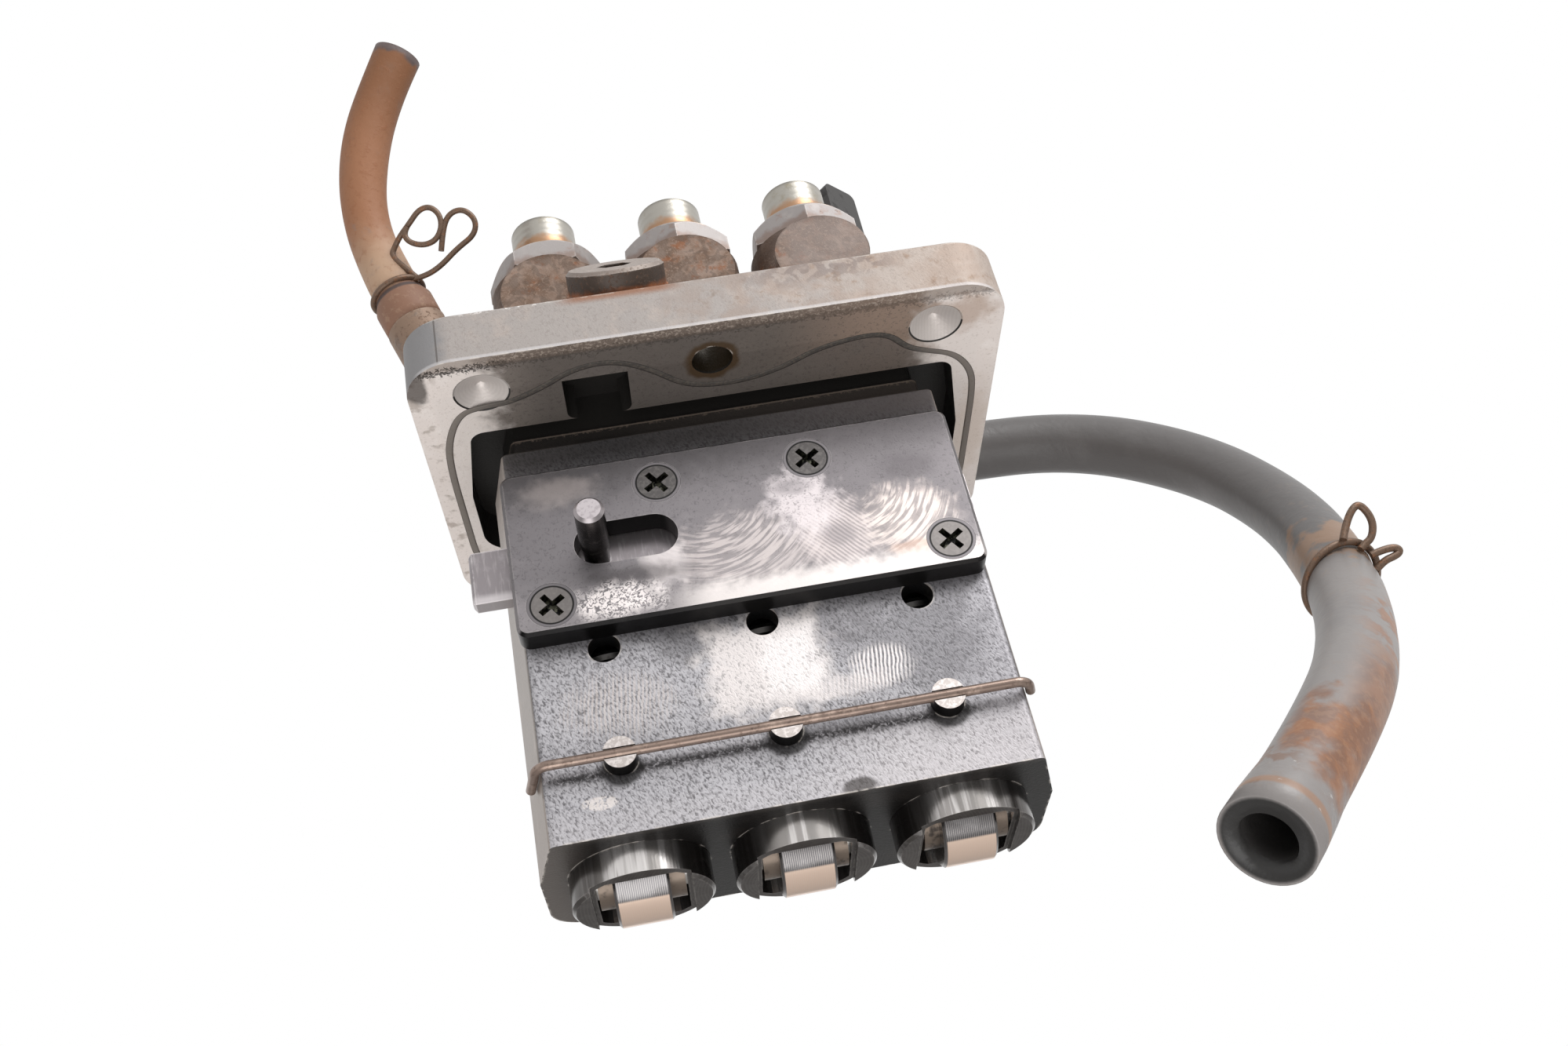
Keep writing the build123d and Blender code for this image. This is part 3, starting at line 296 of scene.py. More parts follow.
def ridges(where, centre, spacing, turn=0.0, rings=None, wobble=2.0, across="X"):
    """Wavy lines a spacing apart, straight or in rings round an axis, from 0 to 1."""
    apart = put("VectorMath", where, centre, operation="SUBTRACT").outputs[0]
    if turn:
        apart = put("VectorRotate", apart, None, None, math.radians(turn), rotation_type="Y_AXIS").outputs[0]
    if rings:
        kind = {"wave_type": "RINGS", "rings_direction": rings}
    else:
        kind = {"wave_type": "BANDS", "bands_direction": across}
    return put("TexWave", apart, **kind, Scale=math.pi / 10 / spacing, Distortion=wobble, Detail=2.0,
        Detail_Scale=0.6).outputs["Fac"]


def cloud(where, scale, detail=5.0, swirl=0.0):
    """A plain noise from 0 to 1."""
    return put("TexNoise", where, Scale=scale, Detail=detail, Distortion=swirl).outputs[0]


def paint(start, *layers):
    """Colours laid over each other in turn: each layer is a mask, its strength and its colour."""
    if isinstance(start, tuple):
        start = linear(*start)
    for mask, strength, layer in layers:
        amount = mask if strength == 1 else calc("MULTIPLY", mask, strength)
        start = blend_colours(amount, start, linear(*layer) if isinstance(layer, tuple) else layer)
    return start


casting, shader = new_finish("pump_casting")
where = position()
x, y, z = split(where)
nx, ny, nz = facing()
skin = cast_height(1.3)
edges = worn(0.5, 0.46)
stain = patchy(0.16, 0.5, 0.2)
rust = patchy(0.3, 0.4, 0.14, 40.0)
dirt = patchy(1.1, 0.5, 0.1, 90.0)
smear = patchy(0.1, 0.45, 0.2, 15.0)
ragged = cloud(where, 0.35)
on_body = front_spots(where, ragged, -14, 9)

# outside of the flange: dull grey, browner to the right, darker and speckled along its lower front edge, with
# a painted highlight on its lower bevel, bright nicks along the upper edge and a flat machined on the left
# corner
front_side = ramp(ny, -0.6, -0.8)
fine = cloud(where, 2.0, 4.0, 0.8)
strokes = cloud(where, 1.5, 5.0, 1.2)
blotch = ramp(cloud(where, 0.22, 6.0, 0.6), 0.36, 0.6)
crust = ramp(cloud(where, 0.5, 6.0, 0.8), 0.56, 0.46)
outside = paint(
    (166, 159, 155), (stain, 1, (178, 167, 160)), (smear, 0.5, (160, 154, 152)),
    (ramp(x, 4, 44), 0.5, (196, 178, 164)),
    (both(rust, ramp(x, -12, 16)), 0.6, (146, 120, 98)),
    (ramp(fine, 0.46, 0.36), 0.2, (112, 102, 95)), (both(dirt, rust), 0.35, (112, 98, 88)),
    (both(blotch, ramp(x, -20, 4)), 0.35, (152, 128, 112)),
    (both(crust, ramp(x, 2, 14), ramp(x, 34, 26), ramp(z, 4, 7.5)), 0.55, (122, 110, 106)),
    (both(near(x, -13, 8.5, 5), ramp(z, 7.4, 8.8)), 0.8, (146, 100, 72)),
    (spot(where, ragged, (-48, -31, 4), (7, 8, 12)), 0.8, (138, 138, 140)),
    (both(near(x, -42.0, 0.14, 0.1), front_side), 0.7, (90, 84, 80)),
    # painted highlight: a light strip along the lower bevel of the front faces
    (both(ramp(z, 0.75, 0.4), front_side), 0.6, (206, 203, 204)),
    (both(near(x, -31, 7, 4), ramp(z, 8.6, 9.3), ramp(dirt, 0.5, 0.8)), 1, (244, 240, 236)))

# above it: rust and grime round the valve columns, and painted shade on their tops under the hexes
upper = paint(
    (150, 130, 117), (blotch, 1, (122, 98, 82)), (both(rust, ramp(x, 34, 22)), 0.8, (138, 86, 52)),
    (crust, 0.4, (78, 66, 58)), (both(ramp(fine, 0.54, 0.64), blotch), 0.3, (186, 166, 150)),
    (both(ramp(x, 14, 20), ramp(z, 12, 20)), 0.45, (158, 148, 144)),
    # painted shade: darker at the top of the columns, under the hexes
    (ramp(z, 33.5, 37.5), 0.55, (84, 66, 56)))
outside = blend_colours(ramp(z, 9.5, 10.6), outside, upper)

# lower face: a wavy sealant line parts the cooler inner band from the pale rim
seal_side = 44.6
seal_depth = 30
seal_points = [
    (-48, -6), (-43.8, -14), (-41, -20.8), (-37.2, -21.8), (-33, -21.9), (-27.5, -24.2),
    (-22, -27.8), (-15.8, -28.4), (-10, -25), (-5, -19.8), (0.3, -18.4), (6, -18.6), (11.7, -20.4),
    (17, -23.6), (24.6, -25.2), (29, -24.4), (32, -20.6), (35.4, -18.9), (40.5, -17), (43.8, -12), (48, -6)]
border = put("FloatCurve", Value=put("MapRange", x, -flange_half, flange_half).outputs[0])
line = border.mapping.curves[0]
for place, (across, back) in enumerate(seal_points):
    at = ((across + flange_half) / (2 * flange_half), (back + seal_depth) / seal_depth)
    if abs(across) == flange_half:
        line.points[0 if place == 0 else -1].location = at
    else:
        line.points.new(*at)
border.mapping.update()
seal_y = calc("SUBTRACT", calc("MULTIPLY", border.outputs[0], seal_depth), seal_depth)
inner = both(ramp(calc("SUBTRACT", y, seal_y), -0.3, 0.3), ramp(calc("ABSOLUTE", x), 44.4, 44.0))
fringe = near(shaken(y, strokes, 5), -31.6, 0.6, 0.5)
wander = shaken(x, ragged, 9.0)
soiled = both(ramp(wander, -38.5, -33), ramp(wander, 39, 32), ramp(y, -5, -12))
soil = paint(
    (92, 84, 78), (ramp(x, -6, 10), 0.6, (104, 95, 87)), (ramp(x, 8, 28), 1, (148, 126, 110)),
    (stain, 0.4, (112, 101, 92)), (inner, 0.75, (98, 91, 86)),
    (both(inner, smear), 0.3, (112, 104, 98)), (ramp(x, -26, -33), 0.5, (134, 124, 116)),
    (ramp(strokes, 0.46, 0.34), 0.4, (50, 43, 38)))
face = paint(
    (242, 232, 226), (stain, 0.8, (250, 242, 237)), (inner, 0.3, (216, 208, 202)),
    (ramp(fine, 0.42, 0.34), 0.25, (176, 160, 146)),
    (both(ramp(x, -40, -47), ramp(ragged, 0.54, 0.66)), 0.5, (146, 130, 116)),
    (soiled, 0.95, soil),
    (ramp(y, -31.2, -31.9), 0.6, (134, 118, 106)),
    (both(ramp(y, -31.6, -32.4), ramp(fine, 0.52, 0.6)), 0.6, (186, 172, 160)),
    (both(fringe, ramp(x, -28, -38, 0.45, 1), ramp(fine, 0.72, 0.5)), 0.9, (44, 37, 33)),
    (spot(where, ragged, (-46.6, -29, 0), (2.0, 4.6, 4), 0.5, 1.2), 0.8, (62, 54, 48)),
    (spot(where, ragged, (0, -24.8, 0), (4.5, 4.5, 9), 0.25, 0.5), 0.85, (76, 56, 32)),
    (spot(where, ragged, (41, -27, 0), (4.6, 4, 9), 0.9, 1.6), 0.45, (160, 118, 80)),
    (spot(where, ragged, (45, 5, 0), (3, 12, 9), 0.9, 1.2), 0.3, (208, 184, 160)))
down_face = both(ramp(nz, -0.9, -0.97), ramp(z, 0.3, 0.1), ramp(z, -0.3, -0.1))
dimple_x = 36.6
dimple_spots = [spot(where, 0.5, (px, -25.3, 1.2), (4.5, 4.5, 3), 0.02, 0) for px in (-dimple_x, dimple_x)]
dimples = both(either(*dimple_spots), ramp(z, 0.02, 0.08))
bolt_bore = spot(where, 0.5, (0, -24.8, 4), (3.7, 3.7, 8), 0.05, 0)
turned_rings = ridges(where, (-dimple_x, -25.3, 0), 0.55, 0, "Z", 0.3)

# crankcase side: oily and speckled, rubbed bright in front with painted glare on it, with finger marks in the
# film, painted sheen low down, and painted shade under the plate, the wire and the pins
finger_lines = ramp(ridges(where, (10, 0, -50), 0.6, -8, None, 4.0), 0.25, 0.75)
leaning = put("VectorRotate", where, None, None, math.radians(27), rotation_type="Y_AXIS").outputs[0]
leaning = put("Mapping", leaning, Scale=(1, 1, 0.5)).outputs[0]
brushed = cloud(leaning, 3.2, 4.0, 0.7)
grain = ramp(brushed, 0.46, 0.3)
oiled = paint(
    (118, 116, 119), (ramp(brushed, 0.33, 0.6), 1, (180, 178, 182)),
    (both(smear, ramp(brushed, 0.4, 0.56)), 0.4, (196, 194, 198)))
wet = paint(
    oiled, (ramp(x, 16, 34), 0.4, (140, 137, 142)),
    # painted shade: darker under the control plate and just below its lower edge
    (ramp(calc("ADD", z, calc("MULTIPLY", ragged, 3)), -41.2, -39.2), 0.6, (70, 68, 70)),
    (on_body((22, -50), (11, 8), 1.0, 1.4), 0.6, (96, 94, 97)),
    (on_body((9, -45.5), (6, 3), 1.0, 1.4), 0.5, (104, 101, 104)),
    (on_body((-11, -43.6), (5, 3.4), 1.0, 1.4), 0.6, (84, 82, 84)),
    (on_body((8, -60.5), (9, 1.6), 1.0, 1.6), 0.55, (88, 86, 89)),
    # painted sheen: lighter along the bottom of the body and on its lower right
    (ramp(z, -66.5, -70.5), 0.25, (200, 195, 197)),
    (both(ramp(z, -61, -66), ramp(x, -4, 20)), 0.4, (202, 196, 197)),
    (both(on_body((-23, -52.4), (7, 4.6), 1.0, 1.4), finger_lines), 0.6, (206, 196, 192)),
    (both(grain, ramp(ragged, 0.35, 0.6, 0.4, 1)), 0.5, (64, 62, 64)),
    (both(on_body((15.8, -53.2), (4.6, 3.4), 0.6, 0.9), finger_lines), 0.85, (232, 225, 224)),
    (both(on_body((9.5, -55.4), (6.4, 1.8), 0.9, 1.2), ramp(finger_lines, 0, 1, 0.5, 1)), 0.7,
        (222, 214, 212)),
    # rubbed bright patches in the middle, made brighter still by painted glare
    (both(on_body((-1.0, -49.6), (8.4, 7.4), 0.6, 1.3, True), ramp(brushed, 0.34, 0.5, 0.55, 1)),
        0.92, (222, 215, 213)),
    (both(on_body((2.6, -49.8), (4.0, 5.2), 0.6, 1.0, True), ramp(brushed, 0.3, 0.5, 0.4, 1)), 0.7,
        (236, 230, 229)),
    (both(on_body((-27.8, -67.0), (2.4, 1.0), 0.3, 1.0), ramp(strokes, 0.4, 0.5)), 0.8, (226, 218, 214)),
    # a dark band under the retaining wire: oil, with a painted shadow
    (both(near(z, -62.7, 0.7, 1.2), near(x, -3, 32, 8), ramp(strokes, 0.7, 0.45)), 0.9, (40, 38, 39)),
    # painted shade: dark crescents in the recess below each guide pin
    (either(*[on_body((px, -62.4), (3.1, 2.6), 0.35, 0.3) for px in cylinders]), 0.85, (34, 32, 32)),
    (on_body((8.6, -71.4), (2.4, 1.3), 0.5, 0.8), 0.8, (52, 46, 42)),
    (ramp(z, -10.4, -6), 0.75, paint((58, 55, 54), (ramp(x, -12, 30), 1, (112, 107, 107)))))
plain_back = paint(oiled, (grain, 0.3, (64, 62, 64)), (smear, 0.3, (150, 138, 126)))
wet = blend_colours(ramp(ny, 0.2, -0.2), plain_back, wet)
sides = ramp(calc("ABSOLUTE", nx), 0.6, 0.85)
wet = blend_colours(sides, wet, paint(
        (164, 155, 149), (smear, 1, (184, 173, 167)), (grain, 0.4, (96, 88, 82)),
        (ramp(z, -50, -70), 0.35, (134, 116, 102))))
# painted shade: the insides of the holes in the body front are painted near black
holes = both(ramp(y, -13.85, -13.6), ramp(y, 8, 4), ramp(z, -65, -64), ramp(z, -36, -38),
    ramp(calc("ABSOLUTE", x), 36, 35))
wet = paint(wet, (holes, 0.97, (6, 6, 6)))
bottom = both(ramp(z, -71.9, -72.15), ramp(nz, -0.8, -0.95))
wet = blend_colours(bottom, wet, paint(
        (20, 18, 17), (smear, 1, (34, 30, 28)), (grain, 0.4, (14, 12, 11)),
        (ramp(x, -28, -38), 0.6, (108, 100, 94)),
        (ramp(y, -12.4, -13.8), 0.4, (78, 73, 69))))
# painted shade: the neck under the opening is painted dark, as the shade of its undercut; light lines run
# along its step edges
neck = near(z, -2.2, 2.1, 0.2)
wet = blend_colours(neck, wet, paint(
        (52, 49, 47), (ramp(x, -30, 20), 0.8, (78, 72, 68)), (ramp(z, -2.4, -3.6), 0.5, (90, 85, 82)),
        (near(z, -0.7, 0.14, 0.15), 0.6, (146, 132, 120)), (near(z, -3.4, 0.1, 0.15), 0.5, (150, 142, 136)),
        (both(ramp(z, -1.4, -1.0), ramp(strokes, 0.5, 0.62)), 0.6, (132, 118, 106))))
# painted shade: the pocket above the neck is painted a flat dark
pocket = both(ramp(z, -0.45, -0.2), ramp(z, 7.6, 7.3))
wet = blend_colours(pocket, wet, linear(46, 44, 42))

inside = either(
    ramp(z, 0.02, -0.1),
    both(ramp(z, 8.0, 7.4), ramp(calc("ABSOLUTE", x), 44.5, 44.0), ramp(calc("ABSOLUTE", y), 25.5, 25.3)))
colour = blend_colours(inside, outside, wet)
colour = blend_colours(down_face, colour, face)
hidden = both(inside, near(z, 1.0, 6.6, 0.4))
colour = paint(
    colour,
    (both(edges, ramp(hidden, 1, 0), ramp(z, 12, 10.8), ramp(holes, 1, 0)), 0.8, (222, 214, 206)),
    # painted shade: the sharp edges of the valve columns are darkened
    (both(edges, ramp(z, 12, 14)), 0.7, (70, 58, 50)),
    (dimples, 1, (206, 198, 193)), (both(dimples, turned_rings), 0.1, (150, 142, 136)),
    # painted shade: the inside of the middle bolt bore is painted a dark rusty brown
    (both(bolt_bore, ramp(z, 0.1, 0.3)), 0.9, (46, 37, 22)))
feed(0.35, shader["Specular IOR Level"])
coat(shader, colour,
    metallic=0.3, roughness=ramp(either(inside, dimples), 0, 1, 0.62, 0.4),
    height=calc("ADD", brushed, calc("MULTIPLY", skin, 0.3)), strength=0.4, depth=0.12)
wear(solids["pump_housing"], casting)

# Bead of old sealant on the lower face, from the same line, closed behind the body.
seal_route = [
    (seal_side, 8), (seal_side, 24), (38, 30.5), (20, 27.5), (0, 29.8), (-20, 27.5), (-38, 30.5),
    (-seal_side, 24), (-seal_side, 8)]
bead_run = [(across * seal_side / flange_half if abs(across) == flange_half else across, back,
        -0.02) for across, back in seal_points]
bead_run += [(across, back, -0.02) for across, back in seal_route]


def along_curve(name, runs, thickness=0.0, closed=(), resolution=8, roundness=4):
    """A mesh along smooth curves through lists of places in millimetres: a line, or a round wire."""
    data = bpy.data.curves.new(name, "CURVE")
    data.dimensions = "3D"
    data.resolution_u = resolution
    data.bevel_depth = thickness / 2 * mm
    data.bevel_resolution = roundness
    data.use_fill_caps = True
    for number, run in enumerate(runs):
        spline = data.splines.new("NURBS")
        spline.points.add(len(run) - 1)
        for point, through in zip(spline.points, run):
            point.co = (*[v * mm for v in through], 1)
        spline.order_u = 3
        spline.use_cyclic_u = number in closed
        spline.use_endpoint_u = number not in closed
    holder = bpy.data.objects.new(name, data)
    bpy.context.scene.collection.objects.link(holder)
    bpy.context.view_layer.update()
    mesh = bpy.data.meshes.new_from_object(holder)
    bpy.data.objects.remove(holder)
    return mesh


sealant_mesh = along_curve("sealant_line", [bead_run], 1.2, closed=(0,), resolution=6, roundness=1)
flatness = 0.14
for vertex in sealant_mesh.vertices:
    vertex.co.z *= flatness
sealant = bpy.data.objects.new("sealant_bead", sealant_mesh)
bpy.context.scene.collection.objects.link(sealant)
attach(sealant, "housing")
bead_look, shader = new_finish("old_sealant")
where = position()
x = split(where)[0]
coat(shader, paint(
        (66, 61, 57), (ramp(cloud(where, 0.5), 0.45, 0.6), 0.6, (82, 76, 70)),
        (ramp(calc("ABSOLUTE", x), 30, 42), 0.8, (132, 124, 117)),
        (ramp(cloud(where, 2.0), 0.52, 0.62), 0.3, (112, 100, 88))),
    metallic=0.0, roughness=0.7, height=cloud(where, 3.0), strength=0.3, depth=0.1)
wear(sealant, bead_look)

# ------------------------------------------------------------------ control plate and its screws
# Dark ground steel, wiped with oily fingers: pale whorls in the middle and on the right, a bright lower edge
# of painted glare, painted shade on the faces that turn down and on the ends, and a painted dark ring of shade
# in the gap round the head of each screw.
steel_plate, shader = new_finish("plate_steel")
where = position()
x, _, z = split(where)
nx, _, nz = facing()
ragged = cloud(where, 0.45)
on_plate = front_spots(where, ragged, -18, 3)
fine = cloud(where, 1.6, 5.0, 1.5)
film = patchy(0.13, 0.45, 0.25, 7.0)


def wiped(centre, along, across):
    """Fine strokes that run round a place, as a wiping finger leaves them."""
    right_of, _, above = split(put("VectorMath", where, centre, operation="SUBTRACT").outputs[0])
    turn = calc("ARCTAN2", above, right_of)
    flat = put("CombineXYZ", right_of, 0.0, above).outputs[0]
    reach = put("VectorMath", flat, operation="LENGTH").outputs["Value"]
    laid = put("CombineXYZ", calc("MULTIPLY", turn, along), calc("MULTIPLY", reach, across)).outputs[0]
    return ramp(cloud(laid, 1.0, 4.0, 0.3), 0.4, 0.6)


whorl = ramp(wiped((-6, 0, -20), 2.5, 1.9), 0, 1, 0.25, 1)
swept = ramp(wiped((16, 0, -22), 2.5, 1.7), 0, 1, 0.3, 1)
print_lines = ramp(ridges(where, (14, 0, -31), 0.6, 40, None, 3.0), 0.2, 0.8, 0.35, 1)
plate_colour = paint(
    (118, 114, 116), (film, 1, (138, 133, 135)),
    (ramp(calc("ADD", z, calc("MULTIPLY", ragged, 6)), -19, -9), 0.85, (78, 75, 76)),
    (ramp(x, -8, 16), 0.4, (102, 98, 100)),
    (ramp(calc("ADD", z, calc("MULTIPLY", ragged, 8)), -26, -34), 0.4, (150, 145, 146)),
    (ramp(fine, 0.46, 0.34), 0.35, (70, 67, 68)),
    (on_plate((-27.4, -16), (5, 2.4), 1.2, 1.4), 0.4, (170, 160, 156)),
    (both(on_plate((0, -32), (11, 6), 0.9, 1.2), whorl), 0.8, (186, 177, 175)),
    (both(on_plate((25, -31), (7, 6), 0.8, 1.3), swept), 0.85, (206, 194, 188)),
    (both(on_plate((13.5, -31.5), (5.5, 6.5), 0.6, 0.9), print_lines), 0.8, (190, 180, 178)),
    (both(on_plate((9.6, -25.2), (4.8, 5.6), 0.9, 1.8), ramp(fine, 0.36, 0.5, 0.5, 1)), 0.85,
        (196, 188, 189)),
    (on_plate((8.6, -22.0), (2.6, 1.4), 0.9, 1.6), 0.5, (112, 108, 110)),
    (on_plate((27, -21.5), (4.4, 2.4), 1.2, 1.4), 0.6, (88, 84, 86)),
    (on_plate((14, -32), (2.4, 2.0), 0.9, 1.6), 0.5, (120, 115, 117)),
    (on_plate((24.5, -36.3), (3.2, 1.2), 0.8, 1.2), 0.5, (176, 146, 128)),
    (on_plate((-13, -31.6), (3.2, 4.0), 0.9, 1.4), 0.6, (222, 214, 213)),
    (on_plate((-17, -33.2), (7, 1.6), 1.2, 1.8), 0.65, (70, 66, 67)),
    (both(on_plate((-21, -37), (6.4, 2.8), 0.9, 1.2), ramp(fine, 0.42, 0.54)), 0.9, (230, 222, 220)),
    # painted glare: a bright band along the lower part of the plate
    (both(ramp(calc("ADD", z, calc("MULTIPLY", ragged, 4)), -33.6, -36.6), ramp(x, -15, -6)),
        0.8, (214, 207, 204)),
    # painted shade: faces that turn down are painted near black, and the end faces darker
    (ramp(nz, -0.25, -0.5), 0.97, (9, 9, 9)), (ramp(calc("ABSOLUTE", nx), 0.5, 0.8), 0.5, (96, 92, 92)),
    (both(worn(0.3, 0.4), ramp(nz, -0.3, 0)), 0.5, (180, 174, 172)))
feed(0.2, shader["Specular IOR Level"])
coat(shader, plate_colour,
    metallic=0.75, roughness=ramp(film, 0, 1, 0.36, 0.48), height=fine, strength=0.25, depth=0.05)
wear(solids["control_plate"], steel_plate)

oiled_screw, shader = new_finish("screw_steel")
where = position()
_, y, z = split(where)
ragged = cloud(where, 1.6)
slots = ramp(y, -18.02, -17.8)
screw_places = [(-12, -17), (12, -17), (-30.6, -36), (30.6, -36)]
from_axis = None
for px, pz in screw_places:
    apart = put("VectorMath", where, (px, -18.1, pz), operation="SUBTRACT").outputs[0]
    gap = put("VectorMath", apart, operation="LENGTH").outputs["Value"]
    from_axis = gap if from_axis is None else calc("MINIMUM", from_axis, gap)
coat(shader, paint(
        (82, 79, 78), (ramp(ragged, 0.45, 0.62), 0.6, (104, 100, 98)),
        (ramp(z, -30, -33), 0.35, (150, 144, 141)),
        # painted shade and highlight: the cross slots are painted near black, with a painted greenish glint
        (both(slots, ramp(from_axis, 3.0, 2.8)), 1, (20, 19, 18)),
        (both(slots, ramp(ragged, 0.5, 0.56), ramp(from_axis, 3.0, 2.8)), 0.6, (112, 112, 96)),
        (ramp(from_axis, 3.2, 3.3), 1, (110, 106, 108)),
        # painted shade: a dark ring in the gap round each head
        (near(from_axis, 3.2, 0.14, 0.12), 0.95, (16, 15, 15))),
    metallic=0.75, roughness=0.38, height=ragged, strength=0.15, depth=0.06)
wear(solids["plate_screws"], oiled_screw)

# ------------------------------------------------------------------ control rack and its pin
# A flat steel bar with marks of the shear across its end, and a dark pin with a bright tip.
bar_steel, shader = new_finish("rack_steel")
where = position()
z = split(where)[2]
marks = cloud(put("Mapping", where, Scale=(2.2, 0.3, 0.3)).outputs[0], 1.0, 4.0)
film = patchy(0.3, 0.5, 0.2)
coat(shader, paint(
        (138, 132, 134), (film, 1, (154, 148, 150)), (ramp(marks, 0.5, 0.7), 0.4, (184, 178, 178)),
        (ramp(z, -29.2, -30.6), 0.7, (208, 202, 203)),
        (worn(0.4, 0.35), 0.7, (232, 226, 226))),
    metallic=0.85, roughness=0.36, height=marks, strength=0.08, depth=0.05)
wear(solids["control_rack"], bar_steel)

pin_steel, shader = new_finish("pin_steel")
where = position()
y = split(where)[1]
ny = facing()[1]
ragged = cloud(where, 1.3)
tip = ramp(ny, -0.55, -0.8)
coat(shader, paint(
        (44, 42, 41), (ramp(y, -24, -27), 0.5, (104, 99, 98)),
        (ramp(ragged, 0.55, 0.65), 0.3, (110, 104, 100)),
        (tip, 1, (176, 169, 171)), (both(tip, ramp(ragged, 0.5, 0.6)), 0.5, (140, 133, 135))),
    metallic=0.85, roughness=ramp(tip, 0, 1, 0.22, 0.4),
    height=ridges(where, (0, 0, 0), 0.35, 0, None, 1.0, "Y"), strength=0.15, depth=0.04)
wear(solids["rack_pin"], pin_steel)

# ------------------------------------------------------------------ valve holders
# Plated steel gone dull: bright threads with an oily brown band at their foot and painted shade along their
# top, grey flats and rust in the corners. The threads are a relief, cut 1.5 mm apart.
thread_pitch = 1.5
plated, shader = new_finish("holder_zinc")
where = position()
z = split(where)[2]
nz = facing()[2]
ragged = cloud(where, 0.5)
film = patchy(0.25, 0.45, 0.2, 3.0)
rust = patchy(0.45, 0.4, 0.15, 22.0)
grime = patchy(1.5, 0.42, 0.1, 31.0)
on_thread = ramp(z, 45.3, 45.7)
height = shaken(z, ragged, 3.0)
thread_tone = paint((168, 164, 156), (film, 1, (148, 140, 122)),
    (ramp(height, 51.6, 49.6), 0.85, (166, 124, 88)),
    (ramp(height, 48.6, 47.4), 0.5, (160, 146, 132)),
    # painted shade: darker along the top of the threads
    (ramp(z, 54.4, 55.2), 0.6, (104, 100, 92)))
flat_tone = paint((164, 158, 156), (film, 1, (176, 169, 166)), (rust, 0.4, (150, 114, 94)),
    (both(grime, rust), 0.5, (96, 84, 76)),
    (ramp(height, 43.0, 41.4), 0.55, (128, 98, 80)), (ramp(nz, 0.6, 0.9), 0.4, (176, 168, 162)))
thread_relief = both(ridges(where, (0, 0, 0), thread_pitch, 0, None, 0.0, "Z"), on_thread,
    ramp(z, 55.4, 54.8), ramp(nz, 0.8, 0.5))
coat(shader, paint(flat_tone, (on_thread, 1, thread_tone),
        (both(worn(0.5, 0.42), ramp(on_thread, 1, 0)), 0.75, (206, 200, 196))),
    metallic=ramp(on_thread, 0, 1, 0.45, 0.7), roughness=ramp(on_thread, 0, 1, 0.5, 0.36),
    height=calc("ADD", thread_relief, calc("MULTIPLY", grime, 0.3)), strength=0.2, depth=0.15)
wear(solids["valve_holders"], plated)

# ------------------------------------------------------------------ tappets and rollers
# Hardened steel, turned and oiled. Each tappet has a polished skirt with streaks round it, painted shade on
# its sides, and a dark sooted end; each roller is dark grey above and painted bright cream beneath, as a
# painted reflection of the light from below.
skirt, shader = new_finish("tappet_steel")
where = position()
z = split(where)[2]
nx, _, nz = facing()
streaks = cloud(put("Mapping", where, Scale=(0.55, 0.55, 0.03)).outputs[0], 1.0, 3.0)
film = patchy(0.4, 0.4, 0.2)
lathe = ridges(where, (0, 0, 0), 0.5, 0, "Z", 0.4)
end_face = ramp(nz, -0.7, -0.9)
coat(shader, paint(
        (150, 146, 143), (ramp(streaks, 0.42, 0.56), 1, (214, 210, 208)),
        (ramp(streaks, 0.56, 0.62), 0.6, (120, 114, 110)),
        (both(film, ramp(z, -76, -72)), 0.4, (112, 98, 86)),
        # painted shade: darker where the skirt faces sideways
        (ramp(calc("ABSOLUTE", nx), 0.3, 0.65), 0.85, (56, 52, 50)),
        (end_face, 0.95, (66, 61, 58)), (both(end_face, ramp(lathe, 0.6, 0.9)), 0.3, (104, 98, 94)),
        (worn(0.3, 0.42), 0.35, (190, 184, 178))),
    metallic=0.9, roughness=ramp(end_face, 0, 1, 0.2, 0.42), height=calc("ADD", lathe, streaks),
    strength=0.12, depth=0.04)
for number in (1, 2, 3):
    wear(solids[f"tappet_{number}"], skirt)

track, shader = new_finish("roller_steel")
where = position()
nx, _, nz = facing()
polish = ridges(where, (0, 0, 0), 0.3, 0, None, 1.0)
wide = cloud(where, 0.25)
# painted reflection: faces that turn down are painted bright cream, the rest is dark grey
lit_underside = ramp(nz, -0.765, -0.80)
coat(shader, paint(
        (92, 90, 91), (ramp(wide, 0.45, 0.6), 0.5, (128, 126, 127)), (lit_underside, 0.95, (234, 207, 188)),
        (ramp(polish, 0.7, 1.0), 0.2, (236, 228, 220)),
        (ramp(calc("ABSOLUTE", nx), 0.5, 0.9), 0.6, (110, 104, 100))),
    metallic=0.9, roughness=0.24, height=polish, strength=0.08, depth=0.03)
for number in (1, 2, 3):
    wear(solids[f"roller_{number}"], track)

# ------------------------------------------------------------------ guide pins and their wire
# Bright slotted pin heads with a turned face, their sides and deeper parts painted dark as the shade in their
# holes, and a spring wire dulled by rust and oil.
pin_heads, shader = new_finish("guide_pin_steel")
where = position()
y = split(where)[1]
ny = facing()[1]
ragged = cloud(where, 1.5)
coat(shader, paint(
        (178, 170, 166), (ramp(ragged, 0.45, 0.6), 1, (206, 199, 196)),
        # painted shade: darker deeper in the hole, and the sides near black
        (ramp(y, -15.5, -15.2), 0.5, (96, 90, 86)),
        (ramp(ragged, 0.62, 0.7), 0.5, (120, 110, 104)), (ramp(ny, -0.85, -0.6), 1, (20, 18, 18))),
    metallic=0.8, roughness=0.35, height=ragged, strength=0.3, depth=0.06)
wear(solids["guide_pins"], pin_heads)

